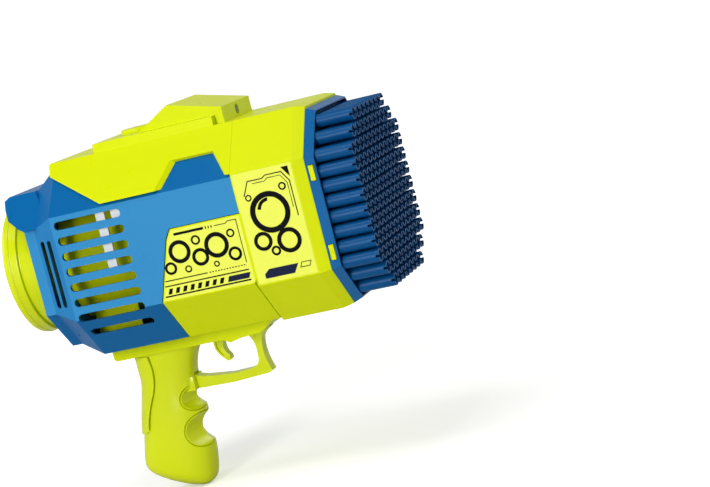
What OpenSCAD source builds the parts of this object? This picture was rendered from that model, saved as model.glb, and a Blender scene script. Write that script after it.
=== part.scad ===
// Battery bubble blower: an eight-sided barrel with a fan inside, a nozzle of many tubes and a pistol grip.
// It is drawn about the nozzle axis (x forward, y to the left, z up; x = 0 at the collar's front edge).
// Every piece is then moved so that the origin is the middle of the underside of the whole box.

/* [Barrel shell] */
// Half the width of the rear shell across its flat sides
shell_half = 65; // [60:0.5:70]
// Corner cut of the rear shell's eight-sided section
shell_cut = 29.8; // [28:0.2:32]
// Wall of the shell halves
shell_wall = 2.6; // [2.2:0.1:3]
// Length of the shell from the collar to the rear chamfer
shell_len = 130; // [126:1:140]
// Length of the rear chamfer
chamfer_len = 16.8; // [15:0.2:20]
// Half the width of the rear plug across its flat sides
plug_half = 56; // [54:0.5:58]
// Corner cut of the rear plug
plug_cut = 27; // [25:0.5:29]
// Height of the flat top of the plug and hood above the nozzle axis
plug_top = 52.6; // [51:0.2:55]
// Length of the rear plug
plug_len = 7.2; // [6:0.2:9]
// Gap at the seams between casing pieces
seam = 0.4; // [0.2:0.1:0.6]

/* [Rear hood] */
// How far the hood stands out past the plug's slanted faces
hood_proud = 2.1; // [1.5:0.1:3]
// Wall of the hood
hood_wall = 3; // [2:0.2:3.4]
// How far the hood reaches back past the plug
hood_reach = 17.1; // [14:0.1:20]
// Height of the hood's lower edge above the nozzle axis
hood_edge = 29.3; // [27:0.1:32]

/* [Side slots] */
// Number of slots in each side face
slot_count = 7; // [3:1:7]
// Height of the topmost slot above the nozzle axis
slot_top = 28.9; // [27:0.1:30]
// Spacing of the slots
slot_pitch = 10.5; // [8:0.1:10.6]
// Height of a slot
slot_h = 5.5; // [4:0.1:6]
// Length of a slot
slot_len = 48; // [40:0.5:50]
// Height of the extra slot in the lower slanted face
low_slot_h = 4.6; // [3:0.1:5]
// Width of the two upright slots in the rear chamfer
vent_w = 3.6; // [2:0.1:4]
// Height of the upright slots
vent_h = 46; // [36:1:50]

/* [Collar] */
// Length of the collar's flat sides
collar_len = 42.6; // [38:0.2:50]
// How far the collar stands proud of the shell's flat sides
collar_step = 1.5; // [1:0.1:2.2]
// How far the collar and top cover stand proud of the shell's slanted faces
slant_step = 2.5; // [2.2:0.1:3]
// How far the collar and top cover stand proud of the shell's top
top_step = 3; // [2.4:0.1:4]
// Wall of the collar
collar_wall = 3; // [2.6:0.1:3.4]
// Length of the sloping band at the collar's front
band_len = 7.6; // [6:0.2:9]
// How far the band slopes inward
band_inset = 1.75; // [1:0.05:2]

/* [Nozzle] */
// Length of the bezel's rim in front of the collar
rim_len = 6.1; // [5.4:0.1:8]
// How far the rim narrows to its front
rim_taper = 2.3; // [1.5:0.1:2.4]
// How deep the bezel reaches into the collar
skirt_len = 15.6; // [12:0.2:20]
// Wall of the bezel's skirt
skirt_wall = 2; // [1.6:0.1:2.2]
// Thickness of the nozzle plate
plate_t = 3; // [2:0.2:4]
// How far the nozzle plate lies behind the rim's front
plate_depth = 3.7; // [3:0.1:5]
// Spacing of the tubes
tube_pitch = 10; // [9:0.1:12]
// Outer diameter of a tube
tube_od = 8.7; // [7.6:0.1:8.8]
// Bore of a tube
tube_bore = 6.6; // [5:0.1:6.8]
// Length of a tube in front of the plate
tube_len = 28.4; // [20:0.2:34]
// Depth of the notches in a tube's crown
crown_depth = 2.4; // [1:0.1:4]
// Width of the notches in a tube's crown
crown_w = 1.5; // [1:0.1:2]
// Length of a snap hook, along the barrel
hook_len = 3.4; // [2.6:0.1:3.8]
// Height of a snap hook
hook_h = 10; // [7:0.2:12]
// Height of the snap hooks above and below the nozzle axis
hook_z = 26; // [22:0.5:28]

/* [Top cover] */
// Length of the top cover behind the collar
cover_len = 133.4; // [128:0.2:136]
// Height of the cover's rear lower corner above the nozzle axis
cover_rear_z = 60; // [57:0.5:62]
// Distance from the collar to where the cover's lower edge reaches the side
cover_flare = 91.9; // [86:0.5:98]
// Distance from the collar to the rear of the side notch
notch_rear = 53.4; // [50:0.2:58]
// Height of the notch above the nozzle axis
notch_z = 53; // [48:0.5:55]
// Run of the notch's rear slope
notch_slope = 10; // [6:0.5:13]
// Lean of the notch's rear wall, forward for each step down
notch_lean = 0.7; // [0:0.05:0.9]
// Distance from the collar to the front of the side notch
notch_front = 2.4; // [2:0.1:4]
// Length of the raised rail
rail_len = 86.7; // [82:0.2:90]
// Distance from the collar to the rail's front
rail_front = 13.7; // [12:0.1:18]
// Height of the rail
rail_h = 6; // [5.4:0.1:8]
// Wall of the rail
rail_wall = 2.4; // [2:0.1:2.6]

/* [Light and button] */
// Half the width of the light housing
light_half = 29; // [20:0.5:31]
// Height of the light housing's peak above the rail
light_peak = 13.6; // [10:0.2:16]
// Distance from the rail's front to the peak
peak_back = 31.1; // [27:0.2:35]
// Distance from the rail's front to the housing's rear foot
light_back = 55.2; // [50:0.2:57]
// How far the housing's nose stands in front of the rail
nose_len = 6; // [5:0.2:7]
// Height of the nose above the rail
nose_h = 4.4; // [4:0.1:6]
// Diameter of the light's lens
lens_d = 7; // [5:0.2:7.6]
// Diameter of the button
button_d = 22; // [16:0.5:23]
// How far the button stands above the rail
button_proud = 3; // [2.6:0.1:5]
// Travel of the button
button_travel = 2; // [1:0.1:2.2]
// Distance from the rail's rear end to the button's middle
button_back = 20; // [17.5:0.5:21]

/* [Fan] */
// Outer radius of the fan duct
duct_r = 46; // [44:0.5:48]
// Wall of the duct
duct_wall = 2; // [1.6:0.1:2.6]
// Radius of the fan's blade tips
fan_r = 43; // [38:0.5:45]
// Number of fan blades
blade_count = 7; // [3:1:9]
// Depth of the fan's hub along the shaft
hub_len = 11; // [9:0.5:12]
// Radius of the fan's hub
hub_r = 12; // [9:0.5:15]
// Diameter of the fan shaft
shaft_d = 2; // [1.5:0.1:3]
// Diameter of the motor
motor_d = 24; // [20:0.5:28]
// Length of the motor
motor_len = 30; // [24:0.5:36]
// Width of the straps round the duct
strap_w = 6.4; // [4:0.2:9]
// Radius of the intake ring's flange
ring_r = 46.7; // [45.5:0.1:48]
// Radius of the intake ring's neck
neck_r = 44.5; // [43:0.1:45]
// Radius of the spigot that plugs the ring into the shell
spigot_r = 41.8; // [40:0.1:42.4]
// Radius of the ring's mouth
mouth_r = 38; // [35:0.5:39]
// How far the ring stands out behind the plug
ring_len = 28; // [24:0.5:30]
// Number of spokes in the intake grille
spoke_count = 8; // [4:1:12]

/* [Handle] */
// Half the width of the handle base
base_half = 21; // [19:0.5:26]
// Thickness of the handle base
base_t = 9; // [8.4:0.1:11]
// Distance from the collar back to the base's rear end
base_back = 131.4; // [129:0.2:133]
// Distance from the collar back to the base's front end
base_front = 12.4; // [10:0.2:16]
// Length of the grip below the base
grip_len = 98.5; // [92:0.5:110]
// Half the width of the grip at its widest
grip_half = 17; // [16:0.2:20]
// Wall of the grip halves
grip_wall = 2.4; // [2:0.1:2.6]
// How far the palm swell stands out of the grip
swell = 1.4; // [0.8:0.1:2]
// Radius of the finger grooves
groove_r = 12; // [10:0.5:13]
// Half the width of the trigger guard
guard_half = 4.4; // [3:0.2:9]
// How far the guard hangs below the base
guard_drop = 33; // [30:0.2:35]

/* [Trigger] */
// Half the width of the trigger
trigger_half = 3.5; // [2.5:0.1:4.5]
// Diameter of the trigger's pin
pin_d = 3; // [2:0.1:3.6]
// Radius of the trigger's hub round the pin
trigger_hub_r = 4.2; // [3.6:0.1:4.3]
// Distance from the collar back to the trigger's pin
pin_back = 61.4; // [60:0.2:63]
// Side clearance of the trigger in its slot
trigger_gap = 0.6; // [0.4:0.1:1]
// Full pull of the trigger in degrees
trigger_pull = 12; // [6:0.5:12]

/* [Battery] */
// Diameter of the battery cell
cell_d = 18.4; // [14:0.2:18.6]
// Length of the battery cell
cell_len = 65; // [50:0.5:66]
// Wall of the battery tray
tray_wall = 1.6; // [1.2:0.1:1.8]
// Width of the battery door
door_w = 25; // [20:0.5:27]
// Length of the battery door
door_len = 58; // [46:1:60]

/* [Fasteners] */
// Diameter of a screw's shank
screw_d = 2.6; // [2:0.1:3]
// Diameter of a screw's head
screw_head = 5.6; // [4.6:0.1:6]
// Radius of a screw post
post_r = 4; // [3.8:0.1:4.2]

/* [Hidden] */
$fn = 64;

// Colours
lime = "#d9e80c";
blue = "#2f86c8";
deep_blue = "#0a4f96";
white = "#f2f4f2";
steel = "#b9bcc0";

// Clearances: static fit, running fit on the radius, and overshoot of a cutter
fit = 0.2;
run = 0.05;
cut = 1;
root2 = sqrt(2);

// Slants: y + z is the same all along a slanted face
shell_slant = 2 * shell_half - shell_cut;
plug_slant = 2 * plug_half - plug_cut;
hood_slant = plug_slant + hood_proud * root2;
collar_half = shell_half + collar_step;
collar_slant = shell_slant + slant_step * root2;
collar_top = shell_half + top_step;
bore_half = collar_half - collar_wall;
bore_slant = collar_slant - collar_wall * root2;
skirt_half = bore_half - fit;
skirt_slant = bore_slant - fit * root2;
mouth_half = skirt_half - skirt_wall;
mouth_slant = skirt_slant - skirt_wall * root2;
side_edge = collar_slant - collar_half;

// Stations along the barrel
collar_back = -collar_len;
shell_front = collar_back - seam;
shell_back = shell_front - shell_len;
plug_front = shell_back - chamfer_len;
plug_back = plug_front - plug_len;
ring_back = plug_back - ring_len;
rim_front = band_len + rim_len;
plate_front = rim_front - plate_depth;
tube_tip = plate_front + tube_len;
skirt_back = band_len - skirt_len;
flange_t = 2.5;
spigot_len = 7;

// Heights below the barrel
base_top = -shell_half;
base_low = base_top - base_t;
grip_low = base_low - grip_len;
origin_x = -(tube_tip + ring_back) / 2;

// Border between the blue rear shell and the yellow lower shell, seen from the side
zone_back = collar_back - 68;
zone_top = 11;
zone_side = shell_slant - shell_half;
zone = [[zone_back, -2 * shell_half], [zone_back + 0.6, -zone_side], [zone_back + 14.2, zone_top - 6.4],
    [zone_back + 18.3, zone_top], [0, zone_top], [0, -2 * shell_half]];

// Rail, light and button
rail_fore = collar_back - rail_front;
rail_aft = rail_fore - rail_len;
rail_top = collar_top + rail_h;
rail_roof = rail_top - rail_wall;
rail_half = collar_slant - collar_top;
button_x = rail_aft + button_back;
button_r = button_d / 2;
flange_r = button_r + 1.6;
button_low = rail_roof - 1.6;
stem_low = rail_roof - 1;
shell_top = shell_half + fit;
nose_front = rail_fore + nose_len;
lens_z = collar_top + (rail_h + nose_h) / 2;

// Handle and trigger: the switch lies under the duct, the arm under the switch and the spring under both
pin_x = collar_back - pin_back;
pin_z = base_low + 4.6;
slot_half = trigger_half + trigger_gap;
duct_gap = 1.2;
switch_h = 4.6;
switch_len = 6;
switch_top = -duct_r - duct_gap;
switch_low = switch_top - switch_h;
arm_top = switch_low - 0.8;
arm_t = 4;
spring_z = arm_top - 4.8;
arm_swing = (arm_top - pin_z) * sin(trigger_pull);
bracket_x = pin_x + arm_t / 2 + arm_swing + 8.1;
bracket_t = 2.4;
bracket_foot = 2.8;
floor_z = -shell_half + shell_wall;
guard_low = base_low - guard_drop;
guard_root = guard_low + 12;
grip_x = pin_x - 69;
guard_back = grip_x + 42;
guard_fore = collar_back - 28.4;

// Fan train
bulkhead_t = 2;
bulkhead_rear = shell_back - 9.5;
bulkhead_mid = shell_back + slot_len + 6;
bulkhead_fore = bracket_x + bracket_t + bracket_foot + 0.6;
duct_back = shell_back - 4.5;
duct_front = collar_back - 18;
fan_back = plug_back + shell_wall + 2.4;
grille_x = plug_back - 6;
grille_t = 2;
grille_seat = 1.2;
motor_back = fan_back + hub_len + 9.6;
motor_front = motor_back + motor_len;
shroud_back = fan_back - 0.6;
shroud_r = max(fan_r + 1, duct_r - duct_wall);
shroud_out = min(shroud_r + duct_wall, plug_top - shell_wall - fit);
strap_x = bulkhead_mid - 16.2 - strap_w;
strap_t = 1.6;

// Inside of the shell: its side wall, and the height where the side wall meets the slanted one
wall_y = shell_half - shell_wall - fit;
wall_edge = shell_slant - (shell_wall + fit) * root2 - wall_y;

// Screw posts: x and z of each, in the rear shell, the lower shell and the grip
post_z = duct_r + post_r + 5;
rear_posts = [[shell_back + 7.5, -post_z], [bulkhead_mid - 7, -post_z], [shell_back + 7.5, post_z],
    [bulkhead_mid - 7, post_z], [bulkhead_fore + post_r + bulkhead_t / 2, post_z]];
lower_posts = [[bulkhead_fore + 8, -post_z]];
grip_posts = [[grip_x + 40, base_low - 13], [grip_x + 24, grip_low + 14.5]];
head_y = 9;
head_t = 2;
thread_len = 11;

// Battery, along the grip's lean
lean = 8.5;
cell_r = cell_d / 2;
cell_gap = 1;
tray_r = cell_r + fit + tray_wall;
tray_top = [grip_x + 23.6, base_low - 6];

// Corner points of an eight-sided section in y and z, counter-clockwise
function section(half, slant, top, low) = [
    [half, slant - half], [slant - top, top], [top - slant, top], [-half, slant - half],
    [-half, half - slant], [low - slant, -low], [slant - low, -low], [half, half - slant]];

// The same section with equal flats all round
function even_section(half, slant) = section(half, slant, half, half);

// Points on a bend from a to b that is drawn toward c
function bend(a, c, b, steps = 8) = [for (i = [0:steps]) let (t = i / steps)
    (1 - t) * (1 - t) * a + 2 * t * (1 - t) * c + t * t * b];

// Faces of a closed skin over rings 0 to last of points, with a cap at each end
function skin_faces(last, sides) = let (e = last * sides) concat(
    [for (k = [0:last - 1], s = [0:sides - 1])
        let (a = k * sides + s, b = k * sides + (s + 1) % sides)
        each [[a, b, a + sides], [b, b + sides, a + sides]]],
    [for (s = [1:sides - 2]) [0, s + 1, s]],
    [for (s = [1:sides - 2]) [e, e + s, e + s + 1]]);

// Moves a piece from the nozzle axis to the part's own origin
module placed() {
    translate([origin_x, 0, -grip_low]) children();
}

// Draws a y-z outline from x0 to x1
module along(x0, x1) {
    translate([x0, 0, 0]) rotate([90, 0, 90]) linear_extrude(x1 - x0) children();
}

// Draws an x-z outline through the middle, to both sides
module across(half) {
    rotate([90, 0, 0]) linear_extrude(2 * half, center = true) children();
}

// Round bar along the barrel
module bar(x0, x1, r) {
    translate([x0, 0, 0]) rotate([0, 90, 0]) cylinder(h = x1 - x0, r = r);
}

// Round rod across the barrel, at x and z
module rod(at, y0, y1, r) {
    translate([at[0], y0, at[1]]) rotate([-90, 0, 0]) cylinder(h = y1 - y0, r = r);
}

// Box between two corners
module block(a, b) {
    translate(a) cube(b - a);
}

// Eight-sided solid that tapers from outline a at x0 to outline b at x1
module taper(x0, a, x1, b) {
    corners = len(a);
    polyhedron(
        points = concat([for (p = a) [x0, p[0], p[1]]], [for (p = b) [x1, p[0], p[1]]]),
        faces = concat([[for (i = [0:corners - 1]) i]], [[for (i = [corners - 1:-1:0]) i + corners]],
            [for (i = [0:corners - 1]) let (j = (i + 1) % corners) [i, i + corners, j + corners, j]]));
}

// Keeps one side of the middle plane: side is -1 for the right half and 1 for the left half
module half_of(side) {
    reach = 4 * shell_half;
    intersection() {
        children();
        translate([-3 * reach / 2, side < 0 ? -reach : 0, -reach]) cube([2 * reach, reach, 2 * reach]);
    }
}

// Slot outline with round ends, middle at the origin
module slot_outline(length, height) {
    square([length - height, height], center = true);
    for (end = [-1, 1]) translate([end * (length - height) / 2, 0]) circle(d = height);
}

// One unbroken coil along z from 0 to length, with eight rings a turn and six sides
module coil(radius, wire, turns, length) {
    rings = 8 * turns;
    sides = 6;
    rise = length - wire;
    path = [for (k = [0:rings]) let (a = 45 * k)
        [radius * cos(a), radius * sin(a), wire / 2 + rise * k / rings]];
    gaps = [for (i = [0:rings], j = [i + 6:1:rings]) norm(path[i] - path[j]) - wire];
    echo(least_gap = min(gaps));
    ring_points = [for (k = [0:rings], s = [0:sides - 1]) let (a = 45 * k, b = 360 * s / sides)
        path[k] + wire / 2 * [cos(b) * cos(a), cos(b) * sin(a), sin(b)]];
    polyhedron(points = ring_points, faces = skin_faces(rings, sides));
}

// Barrel casing

// Body of the rear shell, drawn in by inset from its outside
module shell_form(inset) {
    d = inset * root2;
    half = shell_half - inset;
    main = section(half, shell_slant - d, half, half);
    rear = section(plug_half - inset, plug_slant - d, plug_top - inset, plug_half - inset);
    along(shell_back, shell_front) polygon(main);
    taper(plug_front, rear, shell_back, main);
    along(plug_back + inset, plug_front) polygon(rear);
}

// Hood over the intake ring: a roof band with its ears cut to an outline
module hood() {
    tip = plug_back - hood_reach;
    edge = hood_edge;
    outline = [[tip + 3.1, plug_top], [tip, plug_top - 2.1], [tip + 1.7, plug_top - 8],
        [tip + 5.1, edge + 8.5], [tip + 14.1, edge + 2.1], [tip + 18.4, edge],
        [plug_front + 0.6, edge], [plug_front + 5, edge + 1.7],
        [plug_front + 6.8, edge + 4.4], [plug_front + 6.2, edge + 11.5], [plug_front - 1.6, plug_top]];
    d = hood_wall * root2;
    intersection() {
        across(shell_half) polygon(outline);
        difference() {
            along(tip - cut, shell_back)
                polygon(section(hood_slant - edge, hood_slant, plug_top, plug_half));
            along(tip - 2 * cut, plug_back + cut)
                polygon(section(hood_slant - edge - hood_wall, hood_slant - d,
                    plug_top - hood_wall, plug_half));
        }
    }
}

// Ring that the collar slides over
module shell_spigot() {
    difference() {
        along(shell_front - spigot_len, shell_front + spigot_len)
            polygon(even_section(skirt_half, skirt_slant));
        along(shell_front - spigot_len - cut, shell_front + spigot_len + cut)
            polygon(even_section(mouth_half, mouth_slant));
    }
}

// Bulkheads that cradle the duct
module bulkheads() {
    difference() {
        for (x = [bulkhead_rear, bulkhead_mid, bulkhead_fore])
            block([x, -shell_half, -shell_half], [x + bulkhead_t, shell_half, shell_half]);
        bar(duct_back - cut, duct_front, duct_r + fit);
        bar(shroud_back - cut, duct_back, shroud_out + fit);
    }
}

// Slots that let air into the rear of the barrel
module shell_slots() {
    mid_x = shell_back + 2.2 + slot_len / 2;
    low_z = slot_top - (slot_count - 1) * slot_pitch - 11.9;
    vent_z = slot_top - 31.3;
    across(2 * shell_half) {
        for (i = [0:slot_count - 1])
            translate([mid_x, slot_top - i * slot_pitch]) slot_outline(slot_len, slot_h);
        translate([mid_x, low_z]) slot_outline(slot_len - 2, low_slot_h);
        for (x = [shell_back - 0.36 * chamfer_len, shell_back - 0.72 * chamfer_len])
            translate([x, vent_z]) rotate(90) slot_outline(vent_h, vent_w);
    }
}

// Whole casing of both colours before it is divided
module casing(posts) {
    difference() {
        union() {
            shell_form(0);
            hood();
        }
        difference() {
            union() {
                shell_form(shell_wall);
                along(shell_front - cut, shell_front + cut)
                    polygon(even_section(shell_half - shell_wall, shell_slant - shell_wall * root2));
            }
            bulkheads();
            for (p = posts) rod(p, -shell_half, shell_half, post_r);
        }
        bar(plug_back - cut, plug_back + shell_wall + cut, spigot_r + fit);
    }
    shell_spigot();
}

// Holes for the screws of one half: pilot holes on the right, head wells on the left
module screw_holes(posts, side) {
    for (p = posts)
        if (side < 0) {
            rod(p, -thread_len - cut, cut, screw_d / 2 + run);
        } else {
            rod(p, -cut, head_y + cut, screw_d / 2 + fit);
            rod(p, head_y, 2 * shell_half, screw_head / 2 + fit);
        }
}

// One half of the blue rear shell
module rear_shell(side) {
    placed() color(blue) half_of(side) difference() {
        casing(rear_posts);
        translate([-seam, 0, seam]) across(2 * shell_half) polygon(zone);
        across(2 * shell_half) polygon(zone);
        shell_slots();
        screw_holes(rear_posts, side);
    }
}

module rear_shell_right() {
    rear_shell(-1);
}

module rear_shell_left() {
    rear_shell(1);
}

// One half of the yellow lower shell
module lower_shell(side) {
    placed() color(lime) half_of(side) difference() {
        intersection() {
            casing(lower_posts);
            across(2 * shell_half) polygon(zone);
        }
        block([pin_x - arm_t, -slot_half, base_top - cut], [bracket_x, slot_half, arm_top + cut]);
        screw_holes(lower_posts, side);
    }
}

module lower_shell_right() {
    lower_shell(-1);
}

module lower_shell_left() {
    lower_shell(1);
}

// Collar and nozzle

module front_collar() {
    inset = band_inset * root2;
    outer = section(collar_half, collar_slant, collar_top, collar_half);
    front = section(collar_half - band_inset, collar_slant - inset,
        collar_top - band_inset, collar_half - band_inset);
    placed() color(lime) {
        difference() {
            union() {
                along(collar_back, 0) polygon(outer);
                taper(0, outer, band_len, front);
            }
            along(collar_back - cut, band_len + cut) polygon(even_section(bore_half, bore_slant));
        }
        collar_hooks(0);
    }
}

// Snap fingers along the collar's bore, with a catch at the front: grow makes the matching windows
module collar_hooks(grow) {
    root = mouth_half + 0.5;
    catch = rim_front - hook_len - 1.4;
    high = hook_h / 2 + grow;
    for (side = [0, 1], z = [-hook_z, hook_z])
        mirror([0, side, 0]) {
            block([skirt_back + 2 - grow, root - grow, z - high],
                [catch + hook_len + grow, bore_half - 0.7, z + high]);
            block([skirt_back + 2 - grow, root, z - high], [band_len - 1.6, bore_half + 0.4, z + high]);
            block([catch - grow, root, z - high],
                [catch + hook_len + grow, bore_half + 0.9 + cut * grow, z + high]);
        }
}

module nozzle_bezel() {
    rim_half = collar_half - band_inset;
    rim_slant = collar_slant - band_inset * root2;
    rear = even_section(rim_half, rim_slant);
    fore = even_section(rim_half - rim_taper, rim_slant - rim_taper * root2);
    placed() color(blue) difference() {
        union() {
            taper(band_len, rear, rim_front, fore);
            along(skirt_back, band_len) polygon(even_section(skirt_half, skirt_slant));
        }
        along(skirt_back - cut, rim_front + cut) polygon(even_section(mouth_half, mouth_slant));
        collar_hooks(fit);
    }
}

// Middles of the tubes: every grid place that lies inside the bezel's mouth
tube_r = tube_od / 2;
tube_reach = mouth_half - tube_r - 1;
tube_slant = mouth_slant - tube_r * root2;
tube_rows = floor(2 * tube_reach / tube_pitch);
tube_marks = [for (i = [0:tube_rows]) (i - tube_rows / 2) * tube_pitch];
tubes = [for (y = tube_marks, z = tube_marks) if (abs(y) + abs(z) <= tube_slant) [y, z]];

// One tube with its crown of four teeth
module crown_tube() {
    difference() {
        bar(plate_front, tube_tip, tube_r);
        bar(plate_front - cut, tube_tip + cut, tube_bore / 2);
        for (turn = [0, 90]) rotate([turn, 0, 0])
            block([tube_tip - crown_depth, -tube_od, -crown_w / 2], [tube_tip + cut, tube_od, crown_w / 2]);
    }
}

module nozzle_plate() {
    tray_half = mouth_half - fit;
    tray_slant = mouth_slant - fit * root2;
    d = skirt_wall * root2;
    echo(tube_count = len(tubes));
    placed() color(deep_blue) {
        difference() {
            union() {
                along(skirt_back, plate_front) polygon(even_section(tray_half, tray_slant));
                along(skirt_back - flange_t, skirt_back) polygon(even_section(skirt_half, skirt_slant));
            }
            along(skirt_back - flange_t - cut, plate_front - plate_t)
                polygon(even_section(tray_half - skirt_wall, tray_slant - d));
            for (t = tubes) translate([0, t[0], t[1]])
                bar(plate_front - plate_t - cut, plate_front + cut, tube_bore / 2);
        }
        for (t = tubes) translate([0, t[0], t[1]]) crown_tube();
    }
}

// Cone that spreads the fan's air over the nozzle plate
module diffuser() {
    front = skirt_back - flange_t;
    wide = mouth_half - skirt_wall - 1;
    socket = duct_front - 8;
    outer = duct_r + fit + duct_wall;
    placed() color(lime) difference() {
        union() {
            rotate([0, 90, 0]) rotate_extrude() polygon([[0, socket], [outer, socket], [outer, duct_front],
                [wide, front - flange_t], [wide, front - flange_t / 2], [0, front - flange_t / 2]]);
            along(front - flange_t, front) polygon(even_section(skirt_half, skirt_slant));
        }
        rotate([0, 90, 0]) rotate_extrude() polygon([[0, socket - cut], [duct_r + fit, socket - cut],
            [duct_r + fit, duct_front], [duct_r - duct_wall, duct_front],
            [wide - duct_wall, front - flange_t], [wide - duct_wall, front + cut], [0, front + cut]]);
    }
}

// Top cover, light and button

// Side notch, cut straight down into the slanted face; its rear wall leans forward on the way down
module cover_notch() {
    far = collar_half + cut;
    near = collar_slant - notch_z;
    low = side_edge - slant_step * root2 - cut;
    spread = (far - near) / (notch_z - side_edge);
    aft = collar_back - notch_rear + notch_slope;
    aft_run = spread * (notch_slope + notch_lean * (notch_z - side_edge));
    fore = collar_back - notch_front - notch_slope;
    plan = [for (shift = [notch_lean * (notch_z - low), notch_lean * (notch_z - rail_top)])
        [[near, -fore], [far, -fore - spread * notch_slope],
            [far, aft_run - aft - shift], [near, -aft - shift]]];
    rotate([0, -90, 0]) taper(low, plan[0], rail_top, plan[1]);
}

module top_cover() {
    rear = collar_back - cover_len;
    edge = side_edge;
    high = 2 * collar_top;
    outline = [[rear, high], [rear, collar_top - 1], [rear + 1.7, cover_rear_z],
        [collar_back - cover_flare, edge], [collar_back, edge], [collar_back, high]];
    inner = even_section(shell_top, shell_slant + fit * root2);
    roof = rail_half - 0.2 * rail_h;
    rail = [[rail_half, collar_top - cut], [roof, rail_top],
        [-roof, rail_top], [-rail_half, collar_top - cut]];
    placed() color(lime) difference() {
        union() {
            difference() {
                intersection() {
                    along(rear, collar_back)
                        polygon(section(collar_half, collar_slant, collar_top, collar_half));
                    across(collar_half + cut) polygon(outline);
                }
                along(rear - cut, collar_back + cut) polygon(inner);
                for (side = [0, 1]) mirror([0, side, 0]) cover_notch();
            }
            along(rail_aft, rail_fore) polygon(rail);
        }
        block([rail_aft + rail_wall, rail_wall - roof, shell_top - cut],
            [rail_fore - rail_wall, roof - rail_wall, rail_roof]);
        translate([button_x, 0, shell_top]) cylinder(h = 2 * rail_top, r = button_r + fit);
    }
}

module light_housing() {
    wall = rail_wall;
    foot = rail_fore - light_back;
    peak = rail_fore - peak_back;
    seat = rail_fore + fit;
    outline = [[foot, rail_top], [peak, rail_top + light_peak], [nose_front, rail_top + nose_h],
        [nose_front, collar_top], [seat, collar_top], [seat, rail_top]];
    hollow = [[foot + 4 * wall, rail_top - cut], [peak, rail_top + light_peak - 1.4 * wall],
        [rail_fore - wall, rail_top + nose_h], [rail_fore - wall, rail_top - cut]];
    placed() color(lime) difference() {
        across(light_half) polygon(outline);
        across(light_half - wall) polygon(hollow);
        translate([0, 0, lens_z]) bar(rail_fore - wall - cut, nose_front + cut, lens_d / 2);
    }
}

module light_lens() {
    lens_r = lens_d / 2 - run;
    placed() color([0.9, 0.95, 1, 0.5]) translate([nose_front - 3, 0, lens_z]) rotate([0, 90, 0])
        rotate_extrude() polygon(concat([[0, 0], [lens_r, 0], [lens_r, 2]],
            bend([lens_r, 2], [lens_r / 2, 3], [0, 3])));
}

module light_led() {
    led_r = lens_d / 2 - run;
    dome_r = led_r - 1;
    placed() color(white) translate([rail_fore + fit, 0, lens_z]) rotate([0, 90, 0])
        rotate_extrude() polygon(concat([[0, 0], [led_r, 0], [led_r, 1]],
            bend([dome_r, 1], [dome_r, 2.6], [0, 2.6])));
}

module light_button() {
    top = rail_top + button_proud;
    skirt = button_r - 3;
    round = 1.2;
    dish = 0.6;
    placed() color(lime) translate([button_x, 0, 0]) rotate_extrude() polygon(concat(
        [[0, stem_low], [skirt, stem_low], [skirt, button_low], [flange_r, button_low],
            [flange_r, rail_roof - fit], [button_r, rail_roof - fit]],
        bend([button_r, top - round], [button_r, top], [button_r - round, top]),
        [[skirt, top], [0, top - dish]]));
}

module button_spring() {
    placed() color(steel) translate([button_x, 0, shell_half])
        coil(button_r - 1.5, 0.6, 3, button_low - shell_half);
}

// Push switch, as tall as the button's travel leaves room for
module button_switch() {
    side = 3;
    plunger_h = stem_low - button_travel - fit - shell_half;
    placed() color(steel) translate([button_x, 0, shell_half]) {
        translate([-side, -side, 0]) cube([2 * side, 2 * side, plunger_h - 0.6]);
        cylinder(h = plunger_h, r = 1.7);
    }
}

// Fan

// The ring's bore narrows to a seat in front of the grille
module intake_ring() {
    lip = 2;
    flange_front = ring_back + 12;
    seat_r = mouth_r - grille_seat;
    profile = [[mouth_r, ring_back], [ring_r - 2 * lip, ring_back], [ring_r - 0.5, ring_back + lip],
        [ring_r, ring_back + 2 * lip], [ring_r, ring_back + 3 * lip], [ring_r - 0.6, ring_back + 6.6],
        [ring_r - 0.6, flange_front], [neck_r - 1, flange_front], [neck_r - 1, flange_front + 1.2],
        [neck_r, flange_front + 1.2], [neck_r, plug_back], [spigot_r, plug_back],
        [spigot_r, plug_back + shell_wall], [seat_r, plug_back + shell_wall],
        [seat_r, grille_x + grille_t], [mouth_r, grille_x + grille_t]];
    placed() color(lime) rotate([0, 90, 0]) rotate_extrude() polygon(profile);
}

// Flat ring plate of the grille
module grille_ring(r0, r1) {
    difference() {
        bar(grille_x, grille_x + grille_t, r1);
        bar(grille_x - cut, grille_x + grille_t + cut, r0);
    }
}

module intake_grille() {
    rim_r = mouth_r - fit;
    placed() color(lime) {
        for (r = [8, 18, 28]) grille_ring(r, r + 2);
        grille_ring(rim_r - 2 * grille_seat, rim_r);
        for (i = [0:spoke_count - 1]) rotate([360 * i / spoke_count, 0, 0])
            block([grille_x, 9, -0.9], [grille_x + grille_t, rim_r - grille_seat, 0.9]);
    }
}

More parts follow.
